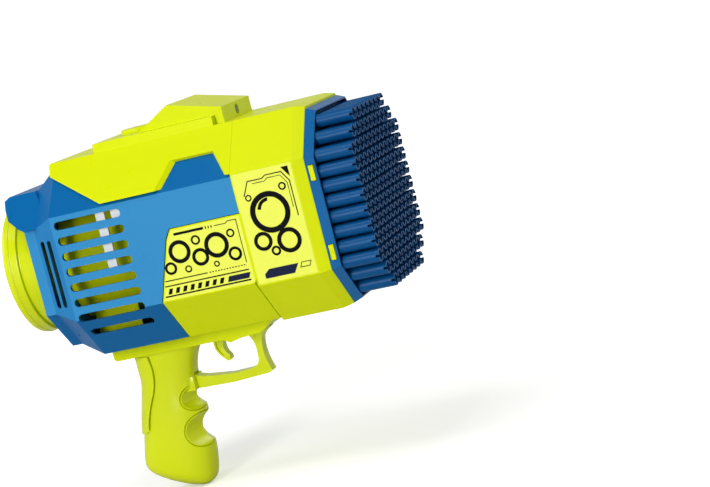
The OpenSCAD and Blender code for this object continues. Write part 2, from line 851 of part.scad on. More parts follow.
// Duct with a shroud round the fan, a cup for the motor and two feet on the shell's floor
module fan_duct() {
    foot_t = 1.6;
    foot_y = wall_edge - foot_t - 1.5;
    cup_r = motor_d / 2 + fit;
    cup_front = motor_back + 0.6 * motor_len;
    vane_t = 2;
    placed() color(lime) {
        difference() {
            union() {
                bar(duct_back, duct_front, duct_r);
                bar(shroud_back, duct_back + 0.8, shroud_out);
                for (y = [-foot_y - foot_t, foot_y])
                    block([shell_back, y, floor_z + fit], [strap_x, y + foot_t, 0]);
            }
            bar(shroud_back - cut, duct_back, shroud_r);
            bar(duct_back - cut, duct_front + cut, duct_r - duct_wall);
            rod(rear_posts[0], -shell_half, shell_half, post_r + fit);
        }
        difference() {
            bar(motor_back - 2, cup_front, cup_r + 2);
            bar(motor_back, cup_front + cut, cup_r);
            bar(motor_back - 2 - cut, cup_front, 4);
        }
        for (i = [0:3]) rotate([45 + 90 * i, 0, 0])
            block([motor_back + 2, cup_r + 1, -vane_t / 2], [cup_front, duct_r - duct_wall / 2, vane_t / 2]);
    }
}

// Strap over the top of the duct, with a leg on each side that hangs behind the first slots
module strap(x0, slots) {
    x1 = x0 + strap_w;
    inner = duct_r + fit / 2;
    reach = duct_r + strap_t;
    web_z = wall_edge - strap_t;
    low = slot_top - (slots - 1) * slot_pitch - slot_h / 2 - 0.8;
    difference() {
        bar(x0, x1, reach);
        bar(x0 - cut, x1 + cut, inner);
        block([x0 - cut, -2 * reach, -2 * reach], [x1 + cut, 2 * reach, web_z]);
    }
    for (side = [0, 1]) mirror([0, side, 0]) {
        block([x0, sqrt(inner * inner - web_z * web_z) + fit, web_z], [x1, wall_y, wall_edge]);
        block([x0, wall_y - strap_t, low], [x1, wall_y, wall_edge]);
    }
}

module duct_straps() {
    placed() color(white) {
        strap(strap_x, 4);
        strap(strap_x + strap_w + 4.6, 1);
    }
}

// One blade: a thin bowed section that twists from hub to tip
module fan_blade() {
    chord = hub_len - 1.6;
    outline = concat(bend([-chord / 2, -2.2], [0, 3.4], [chord / 2, -2.2], 5),
        bend([chord / 2, -3.3], [0, 1.6], [-chord / 2, -3.3], 5));
    linear_extrude(fan_r - hub_r + 1, twist = 22, slices = 5, $fn = 0) rotate(-32) polygon(outline);
}

module fan_impeller() {
    mid = fan_back + hub_len / 2;
    placed() color(white) {
        difference() {
            rotate([0, 90, 0]) rotate_extrude() polygon(concat(
                [[0, fan_back + hub_len], [hub_r, fan_back + hub_len], [hub_r, fan_back + 4]],
                bend([hub_r, fan_back + 4], [hub_r, fan_back], [0, fan_back])));
            bar(fan_back + 3, fan_back + hub_len + cut, shaft_d / 2);
        }
        for (i = [0:blade_count - 1]) rotate([360 * i / blade_count, 0, 0])
            translate([mid, 0, hub_r - 1]) fan_blade();
    }
}

module fan_shaft() {
    placed() color(steel) bar(fan_back + 3, motor_back + 6, shaft_d / 2);
}

module fan_motor() {
    placed() color(steel) difference() {
        union() {
            bar(motor_back, motor_front, motor_d / 2);
            bar(motor_back - 1.6, motor_back, 3.6);
            bar(motor_front, motor_front + 1.6, 3.6);
            for (y = [-5, 5]) block([motor_front, y - 1, -1.4], [motor_front + 4, y + 1, 1.4]);
        }
        bar(motor_back - 2 * cut, motor_back + 6 + cut, shaft_d / 2 + run);
    }
}

// Handle

// Side outline of the handle base, with a bump in front of the trigger
module base_outline() {
    rear = collar_back - base_back;
    fore = collar_back - base_front;
    bump = pin_x + 15.3;
    polygon([[rear, base_top], [rear, base_low + 1.5], [rear + 1.5, base_low], [bump - 5.5, base_low],
        [bump, base_low - 2.7], [bump + 8, base_low - 1], [fore - 11, base_low],
        [fore, base_top - 1.8], [fore, base_top]]);
}

module handle_base() {
    placed() color(lime) difference() {
        across(base_half) base_outline();
        block([pin_x - trigger_hub_r - 1, -slot_half, base_low - 6],
            [pin_x + trigger_hub_r + 1.4, slot_half, base_top + cut]);
        rod([pin_x, pin_z], -pin_reach, pin_reach, pin_d / 2 + run);
    }
}
pin_reach = slot_half + 4;

// Grip sections from top to bottom: x and drop of the back edge, x and drop of the front edge, half width
grip_scale = grip_len / 98.5;
grip_table = [[8, 0, 55.3, 0, -1], [8, 10, 50, 9, -1.6], [7.7, 21, 47, 18, -1.9], [4, 35, 46.1, 30, -1.6],
    [1, 45.5, 46.6, 41, -1], [-1.5, 56, 46.6, 52, -0.6], [-4, 66, 46.2, 64, -0.2], [-5.7, 74, 45.5, 76, 0],
    [-5.5, 78.5, 44, 85.5, -0.4], [-3, 82, 42.2, 92.5, -1.8], [4.5, 87.5, 39.4, 96.3, -5],
    [15, 93.3, 35, 98.5, -10]];
grip_rows = [for (r = grip_table)
    [r[0], -r[1] * grip_scale, r[2], -r[3] * grip_scale, grip_half + r[4]]];
grip_sides = 28;

// Smooth curve through rows b and c
function between(a, b, c, d, t) = 0.5 * (2 * b + (c - a) * t + (2 * a - 5 * b + 4 * c - d) * t * t
    + (3 * b - a - 3 * c + d) * t * t * t);

// All rows of the grip with one smooth row added in each span
function grip_rings(rows) = let (last = len(rows) - 1) concat(
    [for (i = [0:last - 1], t = [0, 0.5])
        between(rows[max(i - 1, 0)], rows[i], rows[i + 1], rows[min(i + 2, last)], t)], [rows[last]]);

// Share of the half width on a squared-off oval
function squared(v) = sign(v) * pow(abs(v), 0.8);

// Solid of the grip, grown on all sides by grow
module grip_form(rows, grow) {
    rings = grip_rings(rows);
    sides = grip_sides;
    points = [for (r = rings, s = [0:sides - 1])
        let (a = 360 * s / sides, depth = [r[2] - r[0], r[3] - r[1]], unit = depth / norm(depth),
            mid = [r[0] + r[2], r[1] + r[3]] / 2, out = squared(cos(a)) * (norm(depth) / 2 + grow))
        [grip_x + mid[0] + out * unit[0], squared(sin(a)) * (r[4] + grow),
            base_low + mid[1] + out * unit[1]]];
    polyhedron(points = points, faces = skin_faces(len(rings) - 1, sides));
}

// Rows of the hollow: it starts above the top edge and stops short of the bottom
hollow_rows = concat([grip_rows[0] + [0, cut, 0, cut, 0]], [for (i = [0:len(grip_rows) - 4]) grip_rows[i]]);

// Side outline of the palm swell, behind its crease
module swell_outline() {
    k = grip_scale;
    polygon(concat([[grip_x - 20, base_low], [grip_x + 21, base_low - 2 * k]],
        [for (p = bend([21, -2], [24, -16], [17.5, -29])) [grip_x + p[0], base_low + p[1] * k]],
        [for (p = bend([17.5, -29], [10.4, -41], [8, -52])) [grip_x + p[0], base_low + p[1] * k]],
        [[grip_x + 5, base_low - 54 * k], [grip_x - 20, base_low - 57 * k]]));
}

// Finger grooves, leaning back to the side of each half
module finger_grooves(side, grow) {
    k = grip_scale;
    sweep = 24;
    for (g = [[52, -36.5, groove_r - 3.4], [54, -59.5, groove_r]])
        translate([grip_x + g[0], 0, base_low + g[1] * k]) rotate([-90 * side, 0, 0]) rotate([0, -sweep, 0])
            translate([0, 0, -4]) cylinder(h = 60, r = g[2] + grow);
}

// Slab that cuts the battery door out of the left side of the grip
module door_slab(grow) {
    inner_y = 3;
    rotate([90, 0, 0]) translate([tray_top[0] - 5.5, tray_top[1] - 37, -2 * grip_half])
        linear_extrude(2 * grip_half - inner_y) rotate(-lean)
            square([door_w + 2 * grow, door_len + 2 * grow], center = true);
}

// Outside of the grip with its palm swell
module grip_skin() {
    grip_form(grip_rows, 0);
    intersection() {
        grip_form(grip_rows, swell);
        across(2 * grip_half) swell_outline();
    }
}

module grip_body(side) {
    difference() {
        grip_skin();
        difference() {
            grip_form(hollow_rows, -grip_wall);
            finger_grooves(side, grip_wall);
            for (p = grip_posts) rod(p, -grip_half, grip_half, post_r);
        }
        finger_grooves(side, 0);
        block([guard_back - fit, -guard_half - fit, guard_low - fit],
            [guard_back + 16, guard_half + fit, guard_root + fit]);
    }
}

module grip_right() {
    placed() color(lime) half_of(-1) difference() {
        grip_body(-1);
        screw_holes(grip_posts, -1);
    }
}

module grip_left() {
    placed() color(lime) half_of(1) difference() {
        grip_body(1);
        screw_holes(grip_posts, 1);
        door_slab(fit);
    }
}

module battery_door() {
    placed() color(lime) intersection() {
        difference() {
            grip_skin();
            grip_form(hollow_rows, -grip_wall);
        }
        door_slab(0);
    }
}

module trigger_guard() {
    front = guard_fore;
    root = guard_back;
    low = guard_low;
    outline = concat([[root, low + 1.2], [root + 31, low + 0.6], [front - 3, low + 2.2], [front, low + 3.4]],
        bend([front, low + 3.4], [front - 4.5, low + 16], [front - 2, base_low - 6.5]),
        bend([front - 2, base_low - 6.5], [front + 0.6, base_low - 2.4], [front + 6.5, base_low]),
        [[front - 13, base_low]],
        bend([front - 12, base_low - 1.5], [front - 7.2, base_low - 6], [front - 7.4, base_low - 14]),
        bend([front - 7.6, low + 14], [front - 8, low + 7.6], [front - 17, low + 7]),
        [[front - 30, low + 6.6], [root + 12, low + 8.4], [root + 6, low + 9.8], [root, guard_root]]);
    placed() color(lime) difference() {
        across(guard_half) polygon(outline);
        across(2 * base_half) base_outline();
    }
}

// Trigger

module trigger() {
    top_z = base_low - 1.5;
    tip_z = base_low - 17.6;
    back = pin_x - 3.5;
    front = pin_x + 3.8;
    blade = concat(bend([back, top_z], [back - 2.6, base_low - 10], [pin_x + 3.6, tip_z]),
        bend([pin_x + 4.2, tip_z + 0.1], [pin_x + 6.4, tip_z + 1], [pin_x + 5.2, tip_z + 3.8]),
        bend([pin_x + 5.2, tip_z + 3.8], [pin_x + 0.8, base_low - 8.6], [front, top_z]));
    placed() color(lime) difference() {
        union() {
            across(trigger_half) polygon(blade);
            rod([pin_x, pin_z], -trigger_half, trigger_half, trigger_hub_r);
            block([back, -trigger_half, top_z - 0.5], [front, trigger_half, pin_z]);
            block([pin_x - arm_t / 2, -trigger_half, pin_z], [pin_x + arm_t / 2, trigger_half, arm_top]);
        }
        rod([pin_x, pin_z], -base_half, base_half, pin_d / 2 + run);
    }
}

module trigger_pin() {
    placed() color(steel) rod([pin_x, pin_z], -pin_reach, pin_reach, pin_d / 2);
}

module trigger_bracket() {
    half = 6;
    placed() color(white) {
        block([bracket_x, -half, floor_z], [bracket_x + bracket_t + bracket_foot, half, floor_z + 1.6]);
        block([bracket_x, -half, floor_z], [bracket_x + bracket_t, half, switch_top]);
    }
}

module trigger_spring() {
    start = pin_x + arm_t / 2;
    placed() color(steel) translate([start + fit, 0, spring_z]) rotate([0, 90, 0])
        coil(2, 0.7, 5, bracket_x - start - 2 * fit);
}

module trigger_switch() {
    placed() color("#26282b") block([bracket_x - switch_len, -3, switch_low], [bracket_x, 3, switch_top]);
}

module switch_leaf() {
    near = pin_x + arm_t / 2 + fit;
    far = bracket_x - switch_len;
    placed() color(steel) across(2)
        polygon([[far, arm_top + 2], [far, arm_top + 1.4], [near + 1.2, arm_top - 1],
            [near + 1.2, arm_top - 1.6], [near, arm_top - 1.6], [near, arm_top - 0.6]]);
}

// Battery

// Places a piece along the grip's lean, with z = 0 at the top of the cell
module leaning() {
    translate([tray_top[0], 0, tray_top[1]]) rotate([0, lean, 0]) children();
}

// Trough round the cell, open to the door, that hangs from a flange under the handle base
module battery_tray() {
    end_t = 2;
    flange_half = 9;
    reach = 2 * tray_r;
    low = -cell_len - cell_gap;
    x = tray_top[0];
    placed() color(white) difference() {
        union() {
            leaning() translate([0, 0, low - end_t])
                cylinder(h = cell_gap - low + 2 * end_t, r = tray_r);
            block([x - 8, -flange_half, base_low - 2], [x + 11, flange_half, base_low]);
            block([x - 4, -flange_half, tray_top[1] - 6], [x + 4, flange_half, base_low]);
        }
        leaning() translate([0, 0, low]) cylinder(h = cell_gap - low, r = cell_r + fit);
        leaning() block([-reach, 2, low], [reach, reach, cell_gap]);
        block([x - reach, -reach, base_low], [x + reach, reach, base_low + reach]);
    }
}

module battery_cell() {
    placed() color("#3a6fb0") leaning() {
        translate([0, 0, -cell_len]) cylinder(h = cell_len - 1, r = cell_r);
        translate([0, 0, -1]) cylinder(h = 1, r = cell_r / 3);
    }
}

// A round contact plate at each end of the tray
module battery_contacts() {
    plate_h = 0.8;
    placed() color(steel) leaning() {
        translate([0, 0, cell_gap - plate_h]) cylinder(h = plate_h, r = cell_r / 2);
        translate([0, 0, -cell_len - cell_gap]) cylinder(h = plate_h, r = cell_r / 2);
    }
}

// Fasteners

module screw(at) {
    rod(at, -thread_len, head_y, screw_d / 2);
    rod(at, head_y, head_y + head_t, screw_head / 2);
}

module housing_screws() {
    placed() color(steel) for (p = concat(rear_posts, lower_posts)) screw(p);
}

module grip_screws() {
    placed() color(steel) for (p = grip_posts) screw(p);
}

front_collar();
nozzle_bezel();
nozzle_plate();
diffuser();
rear_shell_right();
rear_shell_left();
lower_shell_right();
lower_shell_left();
top_cover();
light_housing();
light_lens();
light_led();
light_button();
button_spring();
button_switch();
intake_ring();
intake_grille();
fan_duct();
duct_straps();
fan_impeller();
fan_shaft();
fan_motor();
handle_base();
grip_right();
grip_left();
trigger_guard();
trigger();
trigger_pin();
trigger_spring();
trigger_bracket();
trigger_switch();
switch_leaf();
battery_tray();
battery_cell();
battery_contacts();
battery_door();
housing_screws();
grip_screws();
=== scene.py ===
import math

import bmesh
import bpy
from mathutils import Matrix, Vector


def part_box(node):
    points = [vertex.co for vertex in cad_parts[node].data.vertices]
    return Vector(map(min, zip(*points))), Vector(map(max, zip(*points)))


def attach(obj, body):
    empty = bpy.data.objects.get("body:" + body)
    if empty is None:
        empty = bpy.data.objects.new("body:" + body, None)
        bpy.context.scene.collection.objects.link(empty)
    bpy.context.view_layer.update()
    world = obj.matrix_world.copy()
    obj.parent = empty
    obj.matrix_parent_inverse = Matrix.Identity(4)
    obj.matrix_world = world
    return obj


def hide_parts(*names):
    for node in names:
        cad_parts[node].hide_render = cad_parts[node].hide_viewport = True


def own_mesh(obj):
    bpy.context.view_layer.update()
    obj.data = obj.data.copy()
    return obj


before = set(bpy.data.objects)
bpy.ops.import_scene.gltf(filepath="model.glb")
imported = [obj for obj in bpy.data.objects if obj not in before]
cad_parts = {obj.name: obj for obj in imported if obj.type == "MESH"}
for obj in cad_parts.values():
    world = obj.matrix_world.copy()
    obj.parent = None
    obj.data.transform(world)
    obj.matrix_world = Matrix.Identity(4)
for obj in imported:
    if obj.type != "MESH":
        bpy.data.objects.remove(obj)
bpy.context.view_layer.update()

bl_info = {
    "name": "Bubble Blower",
    "version": (1, 0, 0),
    "blender": (4, 5, 0),
    "location": "3D View > Sidebar > Blower",
    "description": "Dresses a packed bubble blower: moulded casing, tube nozzle, grip, fan, labels and studio",
    "category": "Object",
}

MM = 0.001
# The nozzle axis at the collar's front edge, in mm of the row frame: most sizes below count from here
NOZZLE = Vector((93.3, 0, 172.5))
ROOT2 = math.sqrt(2)
SIDES = (-1, 1)  # right half, left half


def srgb(code):
    """Linear colour of an sRGB hex code."""
    parts = [int(code[i:i + 2], 16) / 255 for i in (1, 3, 5)]
    return tuple(c / 12.92 if c <= 0.04045 else ((c + 0.055) / 1.055) ** 2.4 for c in parts)


def colour(name, about, code):
    """Colour property from an sRGB hex code."""
    return bpy.props.FloatVectorProperty(
        name=name, description=about, subtype="COLOR", size=3, min=0, max=1, default=srgb(code))


def length(name, about, mm):
    """Length property from a size in millimetres."""
    return bpy.props.FloatProperty(name=name, description=about, unit="LENGTH", min=0, default=mm * MM)


class BlowerColours(bpy.types.PropertyGroup):
    """Colours of the blower's plastics, print and metal."""

    lime: colour("Lime", "Yellow-green plastic of the casing and grip", "#DEEA02")
    # Blue is the rear shell's plastic made paler by a painted sheen, shown on its sides. Rich blue is the same plastic
    # as painted shade on the shell's other faces, and the nozzle bezel's own plastic.
    blue: colour("Blue", "Plastic of the rear shell, on its grained sides", "#378FC9")
    rich_blue: colour("Rich blue", "Plastic of the rear shell where it is polished, and of the nozzle bezel", "#0467A9")
    deep_blue: colour("Deep blue", "Plastic of the nozzle tubes", "#04528C")
    white: colour("White", "Plastic of the fan, straps and brackets", "#EEF0EC")
    label: colour("Label", "Yellow film of the labels", "#F1F85B")
    ink: colour("Ink", "Print on the labels", "#0B0C0F")
    dark_ink: colour("Dark blue ink", "Second colour of the print", "#1B2340")
    steel: colour("Steel", "Screws, springs, pins and motor can", "#B9BCC0")
    black: colour("Black", "Plastic of the trigger switch", "#1C1D20")
    wrap: colour("Wrap", "Film round the battery cell", "#3A6FB0")
    floor: colour("Floor", "Painted studio floor", "#F4F4F2")


class BlowerSizes(bpy.types.PropertyGroup):
    """Sizes that belong to the looks of the blower."""

    edge: length("Edge", "Rounding of the casing's outer edges", 0.7)
    seam_edge: length("Seam edge", "Rounding along the seams of the shells", 0.6)
    gap: length("Shadow gap", "Width that the lower shell steps back behind the collar", 1.8)
    gap_depth: length("Gap depth", "Depth of the shadow gap behind the collar", 1.6)
    fine_edge: length("Fine edge", "Rounding of thin and small pieces", 0.35)
    tube_pitch: length("Tube pitch", "Spacing of the nozzle tubes", 10)
    tube_od: length("Tube diameter", "Outside of a nozzle tube", 8.7)
    tube_bore: length("Tube bore", "Inside of a nozzle tube", 6.6)
    tube_len: length("Tube length", "Length of a tube in front of its plate", 28.4)
    crown_depth: length("Crown depth", "Depth of the notches at a tube's end", 2.4)
    crown_w: length("Crown width", "Width of the notches at a tube's end", 1.5)
    seam: length("Seam", "Gap between the two halves of the grip", 0.2)
    film: length("Film", "Thickness of the label film", 0.14)
    ink: length("Ink", "Thickness of the print on the film", 0.06)
    groove: length("Trigger groove", "Depth of the line along the trigger's back edge", 1.4)
    line: length("Engraved line", "Width of the lines round the finger scoops and along the palm swell", 0.8)
    line_depth: length("Line depth", "Depth of the engraved lines", 1.5)


def sizes():
    return bpy.context.scene.blower_sizes


def colours():
    return bpy.context.scene.blower_colours


# Points and outlines, in mm from the nozzle axis unless a name says otherwise

def at(x, y, z):
    """Point in metres of the row frame."""
    return (Vector((x, y, z)) + NOZZLE) * MM


def bend(a, c, b, steps=12):
    """Points on a bend from a to b that is drawn toward c."""
    a, c, b = Vector(a), Vector(c), Vector(b)
    return [(1 - t) ** 2 * a + 2 * t * (1 - t) * c + t * t * b for t in (i / steps for i in range(steps + 1))]


def around(count):
    """Angles of even steps round a circle."""
    return [2 * math.pi * k / count for k in range(count)]


def rounded(corners, radius, steps=4):
    """Closed outline whose corners are cut back by radius and bent."""
    out = []
    for i in range(len(corners)):
        here, before, after = (Vector(corners[j % len(corners)]) for j in (i, i - 1, i + 1))
        back = (before - here).normalized() * min(radius, (before - here).length / 2.2)
        ahead = (after - here).normalized() * min(radius, (after - here).length / 2.2)
        out += bend(here + back, here, here + ahead, steps)
    return out


def stroke(points, line):
    """Outline of a line of even width through points."""
    points = [Vector(p) for p in points]
    left, right = [], []
    for i, p in enumerate(points):
        ways = [(points[j + 1] - points[j]).normalized() for j in (i - 1, i) if 0 <= j < len(points) - 1]
        across = sum((Vector((-w.y, w.x)) for w in ways), Vector((0, 0))).normalized()
        reach = line / 2 / max(0.4, across.dot(Vector((-ways[0].y, ways[0].x))))
        left.append(p + across * reach)
        right.append(p - across * reach)
    return left + right[::-1]


def slab(x, z, w, h, lean=0.0):
    """Leaning bar with its lower left corner at x and z."""
    return [(x, z), (x + w, z), (x + w + lean, z + h), (x + lean, z + h)]


def octagon(half, slant):
    """Corners of the eight-sided section in y and z, counter-clockwise seen from the front."""
    near = slant - half
    return [(half, near), (near, half), (-near, half), (-half, near),
            (-half, -near), (-near, -half), (near, -half), (half, -near)]


# Materials

def add(tree, kind, settings=(), sockets=()):
    """Adds a node with its settings, and sets or links its inputs."""
    node = tree.nodes.new(kind)
    for key, value in dict(settings).items():
        setattr(node, key, value)
    for key, value in dict(sockets).items():
        if isinstance(value, bpy.types.NodeSocket):
            tree.links.new(value, node.inputs[key])
        else:
            node.inputs[key].default_value = value
    return node


def calc(tree, operation, *values):
    """Sum of values or sockets."""
    return add(tree, "ShaderNodeMath", {"operation": operation}, dict(enumerate(values))).outputs[0]


def remap(tree, value, start, end, low=0.0, high=1.0):
    """Number that goes from low to high while a value goes from start to end."""
    return add(tree, "ShaderNodeMapRange", (), {
        "Value": value, "From Min": start, "From Max": end, "To Min": low, "To Max": high}).outputs[0]


def noise(tree, place, size, detail, **more):
    """Noise with marks about as long as a size in metres."""
    return add(tree, "ShaderNodeTexNoise", (), {
        "Vector": place, "Scale": 1 / size, "Detail": detail, **more}).outputs[0]


def mix(tree, share, low, high):
    """Colour that goes from low to high with a share."""
    return add(tree, "ShaderNodeMix", {"data_type": "RGBA"}, {0: share, 6: low, 7: high}).outputs[2]


def bump(tree, height, strength, distance):
    """Normal of a surface that rises and falls with a height."""
    return add(tree, "ShaderNodeBump", (), {
        "Height": height, "Strength": strength, "Distance": distance}).outputs[0]


def tone(rgb, factor):
    """Colour made lighter or darker."""
    return (*(min(1.0, c * factor) for c in rgb), 1.0)


def blank(name):
    """New material with an empty tree, and its Object coordinates."""
    material = bpy.data.materials.new(name)
    material.use_nodes = True
    tree = material.node_tree
    tree.nodes.clear()
    return material, tree, add(tree, "ShaderNodeTexCoord").outputs["Object"]


def surface(tree, sockets):
    """Ends a material's tree with one shader."""
    shader = add(tree, "ShaderNodeBsdfPrincipled", (), sockets)
    add(tree, "ShaderNodeOutputMaterial", (), {"Surface": shader.outputs[0]})


def moulded_abs(name, rgb, rough=0.3, shine=0.3, painted_shade=None):
    """ABS from a lightly etched steel mould. It gives the eye an even, deep colour with a soft sheen,
    faint flow marks some 35 mm long and a fine skin of about 0.8 mm that breaks up the highlights.
    The real skin is finer than a pixel of the render, so it is drawn that coarse. Given a second, deeper colour, only
    the sides keep the base colour, and the faces between them take the deeper one as painted shade."""
    material, tree, place = blank(name)
    tint = mix(tree, noise(tree, place, 0.035, 3.0, Roughness=0.45), tone(rgb, 0.97), tone(rgb, 1.03))
    # Painted shade: faces that don't face sideways take the deeper colour given, and only the sides keep the base
    # colour.
    if painted_shade:
        facing = add(tree, "ShaderNodeSeparateXYZ", (), {0: add(tree, "ShaderNodeTexCoord").outputs["Normal"]})
        lit = remap(tree, calc(tree, "ABSOLUTE", facing.outputs["Y"]), 0.8, 0.95)
        tint = mix(tree, lit, tone(painted_shade, 1), tint)
    surface(tree, {
        "Base Color": tint, "IOR": 1.53, "Specular IOR Level": shine,
        "Roughness": remap(tree, noise(tree, place, 0.009, 4.0), 0.3, 0.7, rough - 0.03, rough + 0.04),
        "Normal": bump(tree, noise(tree, place, 0.0008, 1.0), 0.04, 0.0004)})
    return material


def plated_steel(name, rgb):
    """Zinc-plated steel, drawn or turned. It gives a grey metal with fine streaks along its length,
    about 0.3 mm wide."""
    material, tree, place = blank(name)
    stretch = add(tree, "ShaderNodeMapping", (), {"Vector": place, "Scale": (1 / 0.012, 1 / 0.0003, 1 / 0.0003)})
    streak = noise(tree, stretch.outputs[0], 1.0, 2.0)
    surface(tree, {
        "Base Color": mix(tree, streak, tone(rgb, 0.82), tone(rgb, 1.08)),
        "Roughness": remap(tree, streak, 0, 1, 0.2, 0.42), "Metallic": 1.0})
    return material


def clear_styrene(name):
    """Clear polystyrene, moulded and polished. It gives a bright, slightly wavy lens."""
    material, tree, place = blank(name)
    surface(tree, {
        "Base Color": (*srgb("#F4FAFF"), 1), "Roughness": 0.04, "IOR": 1.59, "Transmission Weight": 0.9,
        "Normal": bump(tree, noise(tree, place, 0.004, 1.0), 0.1, 0.0003)})
    return material


def printed_film(name, rgb, rough, shine=0.2):
    """Vinyl film or the ink on it, laid on flat. It gives an even colour with a slight stipple of about 1 mm."""
    material, tree, place = blank(name)
    surface(tree, {
        "Base Color": mix(tree, noise(tree, place, 0.001, 2.0), tone(rgb, 0.97), tone(rgb, 1.03)),
        "Roughness": remap(tree, noise(tree, place, 0.018, 1.0), 0, 1, rough - 0.06, rough + 0.06),
        "IOR": 1.5, "Specular IOR Level": shine})
    return material


def make_materials():
    """All of the blower's finishes by a short name, with the record's slot of each."""
    c = colours()
    return {
        "lime": (moulded_abs("lime_moulded_abs", c.lime, shine=0.1), "lime_plastic"),
        "bright_lime": (moulded_abs("lime_polished_abs", c.lime, rough=0.2, shine=0.35), "lime_plastic"),
        # Rear shell: pale blue with a painted sheen on its sides, and rich blue as painted shade on its other faces.
        "blue": (moulded_abs("blue_moulded_abs", c.blue, shine=0.08, painted_shade=c.rich_blue), "blue_plastic"),
        "rich_blue": (moulded_abs("blue_polished_abs", c.rich_blue), "blue_plastic"),
        "deep_blue": (moulded_abs("deep_blue_moulded_abs", c.deep_blue, shine=0.14), "deep_blue_plastic"),
        "white": (moulded_abs("white_moulded_abs", c.white, rough=0.45), "white_plastic"),
        "black": (moulded_abs("black_moulded_abs", c.black, rough=0.45), "black_plastic"),
        "wrap": (printed_film("pvc_cell_wrap", c.wrap, 0.3), "cell_wrap"),
        "label": (printed_film("yellow_vinyl_film", c.label, 0.4), "lime_plastic"),
        "ink": (printed_film("black_screen_ink", c.ink, 0.5, 0.05), "black_plastic"),
        "dark_ink": (printed_film("dark_blue_screen_ink", c.dark_ink, 0.5, 0.05), "black_plastic"),
        "steel": (plated_steel("zinc_plated_steel", c.steel), "steel"),
        "clear": (clear_styrene("clear_polystyrene"), "clear_plastic"),
    }


FINISH = {}


def finish_of(key):
    if not FINISH:
        FINISH.update(make_materials())
    return FINISH[key]


# Making pieces

def link(name, mesh):
    obj = bpy.data.objects.new(name, mesh)
    bpy.context.scene.collection.objects.link(obj)
    return obj


def from_bmesh(name, bm):
    mesh = bpy.data.meshes.new(name)
    bm.to_mesh(mesh)
    bm.free()
    return link(name, mesh)


def baked(obj):
    """Turns an object's modifiers into its plain mesh."""
    graph = bpy.context.evaluated_depsgraph_get()
    mesh = bpy.data.meshes.new_from_object(obj.evaluated_get(graph), preserve_all_data_layers=True, depsgraph=graph)
    old = obj.data
    obj.modifiers.clear()
    obj.data = mesh
    mesh.name = obj.name
    bpy.data.meshes.remove(old)
    return obj


def carve(obj, tool, operation="DIFFERENCE"):
    """Cuts, keeps or joins a tool's solid, and removes the tool."""
    step = obj.modifiers.new("carve", "BOOLEAN")
    step.object, step.operation, step.solver = tool, operation, "EXACT"
    baked(obj)
    bpy.data.objects.remove(tool)
    return obj


def soften(obj, width, angle=40):
    """Rounds the edges sharper than angle, as a mould leaves them."""
    edge = obj.modifiers.new("edge", "BEVEL")
    edge.width, edge.segments, edge.limit_method = width, 2, "ANGLE"
    edge.angle_limit = math.radians(angle)
    edge.miter_outer = "MITER_ARC"
    edge.harden_normals = False
    return baked(obj)


def settle(obj, key, body, *nodes, angle=32, flats=False):
    """Gives a piece its finish, smooth shading and body, and hides the CAD nodes that it stands for.
    With flats its broad faces stay flat, so that only the rounded edges between them are shaded."""
    material, slot = finish_of(key)
    obj.data.materials.clear()
    obj.data.materials.append(material)
    obj.data.polygons.foreach_set("material_index", [0] * len(obj.data.polygons))
    obj.data.shade_smooth()
    obj.data.set_sharp_from_angle(angle=math.radians(angle))
    if flats:
        step = obj.modifiers.new("flats", "WEIGHTED_NORMAL")
        step.keep_sharp = True
        baked(obj)
    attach(obj, body)
    if nodes:
        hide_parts(*nodes)
    return obj


def copy_of(node):
    """Copy of a CAD node with its loose triangles merged and its flat faces joined."""
    bm = bmesh.new()
    bm.from_mesh(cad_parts[node].data)
    bmesh.ops.remove_doubles(bm, verts=bm.verts, dist=2e-6)
    bmesh.ops.dissolve_degenerate(bm, edges=bm.edges, dist=1e-6)
    bmesh.ops.dissolve_limit(bm, angle_limit=math.radians(0.6), verts=bm.verts, edges=bm.edges)
    return bm


def dress(node, key, width, body="housing", angle=20, cutters=()):
    """A CAD node with its edges rounded and its finish on, after what the cutters take away."""
    obj = from_bmesh(node + "_skin", copy_of(node))
    for cutter in cutters:
        carve(obj, cutter)
    return settle(soften(obj, width, angle=angle), key, body, node, angle=50, flats=True)


def keep(node, key):
    """Leaves a CAD node as it is and gives it its finish."""
    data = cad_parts[node].data
    data.materials.clear()
    data.materials.append(finish_of(key)[0])


def stitch(bm, a, b, spans=None):
    """Faces between two rings of as many points, all the way round or at some of their spans."""
    count = len(a)
    return [bm.faces.new((a[k], a[(k + 1) % count], b[(k + 1) % count], b[k]))
            for k in (range(count) if spans is None else spans)]


def loft(name, rings):
    """Solid through rings of as many points, closed at both ends."""
    bm = bmesh.new()
    rings = [[bm.verts.new(p) for p in ring] for ring in rings]
    for a, b in zip(rings, rings[1:]):
        stitch(bm, a, b)
    for end in (rings[0], rings[-1]):
        bm.faces.new(end)
    bmesh.ops.recalc_face_normals(bm, faces=bm.faces)
    return from_bmesh(name, bm)


def prism(name, outline, low, high, axis="y"):
    """Solid with an x-z outline between two values of y, or a y-z outline between two values of x."""
    place = {"y": lambda p, h: at(p[0], h, p[1]), "x": lambda p, h: at(h, p[0], p[1])}[axis]
    return loft(name, [[place(p, h) for p in outline] for h in (low, high)])


def rod(name, start, end, radius):
    """Round solid between two points."""
    a, b = at(*start), at(*end)
    turn = (b - a).to_track_quat("Z", "Y").to_matrix().to_4x4()
    bm = bmesh.new()
    bmesh.ops.create_cone(
        bm, cap_ends=True, segments=96, radius1=radius * MM, radius2=radius * MM, depth=(b - a).length,
        matrix=Matrix.Translation((a + b) / 2) @ turn)
    return from_bmesh(name, bm)


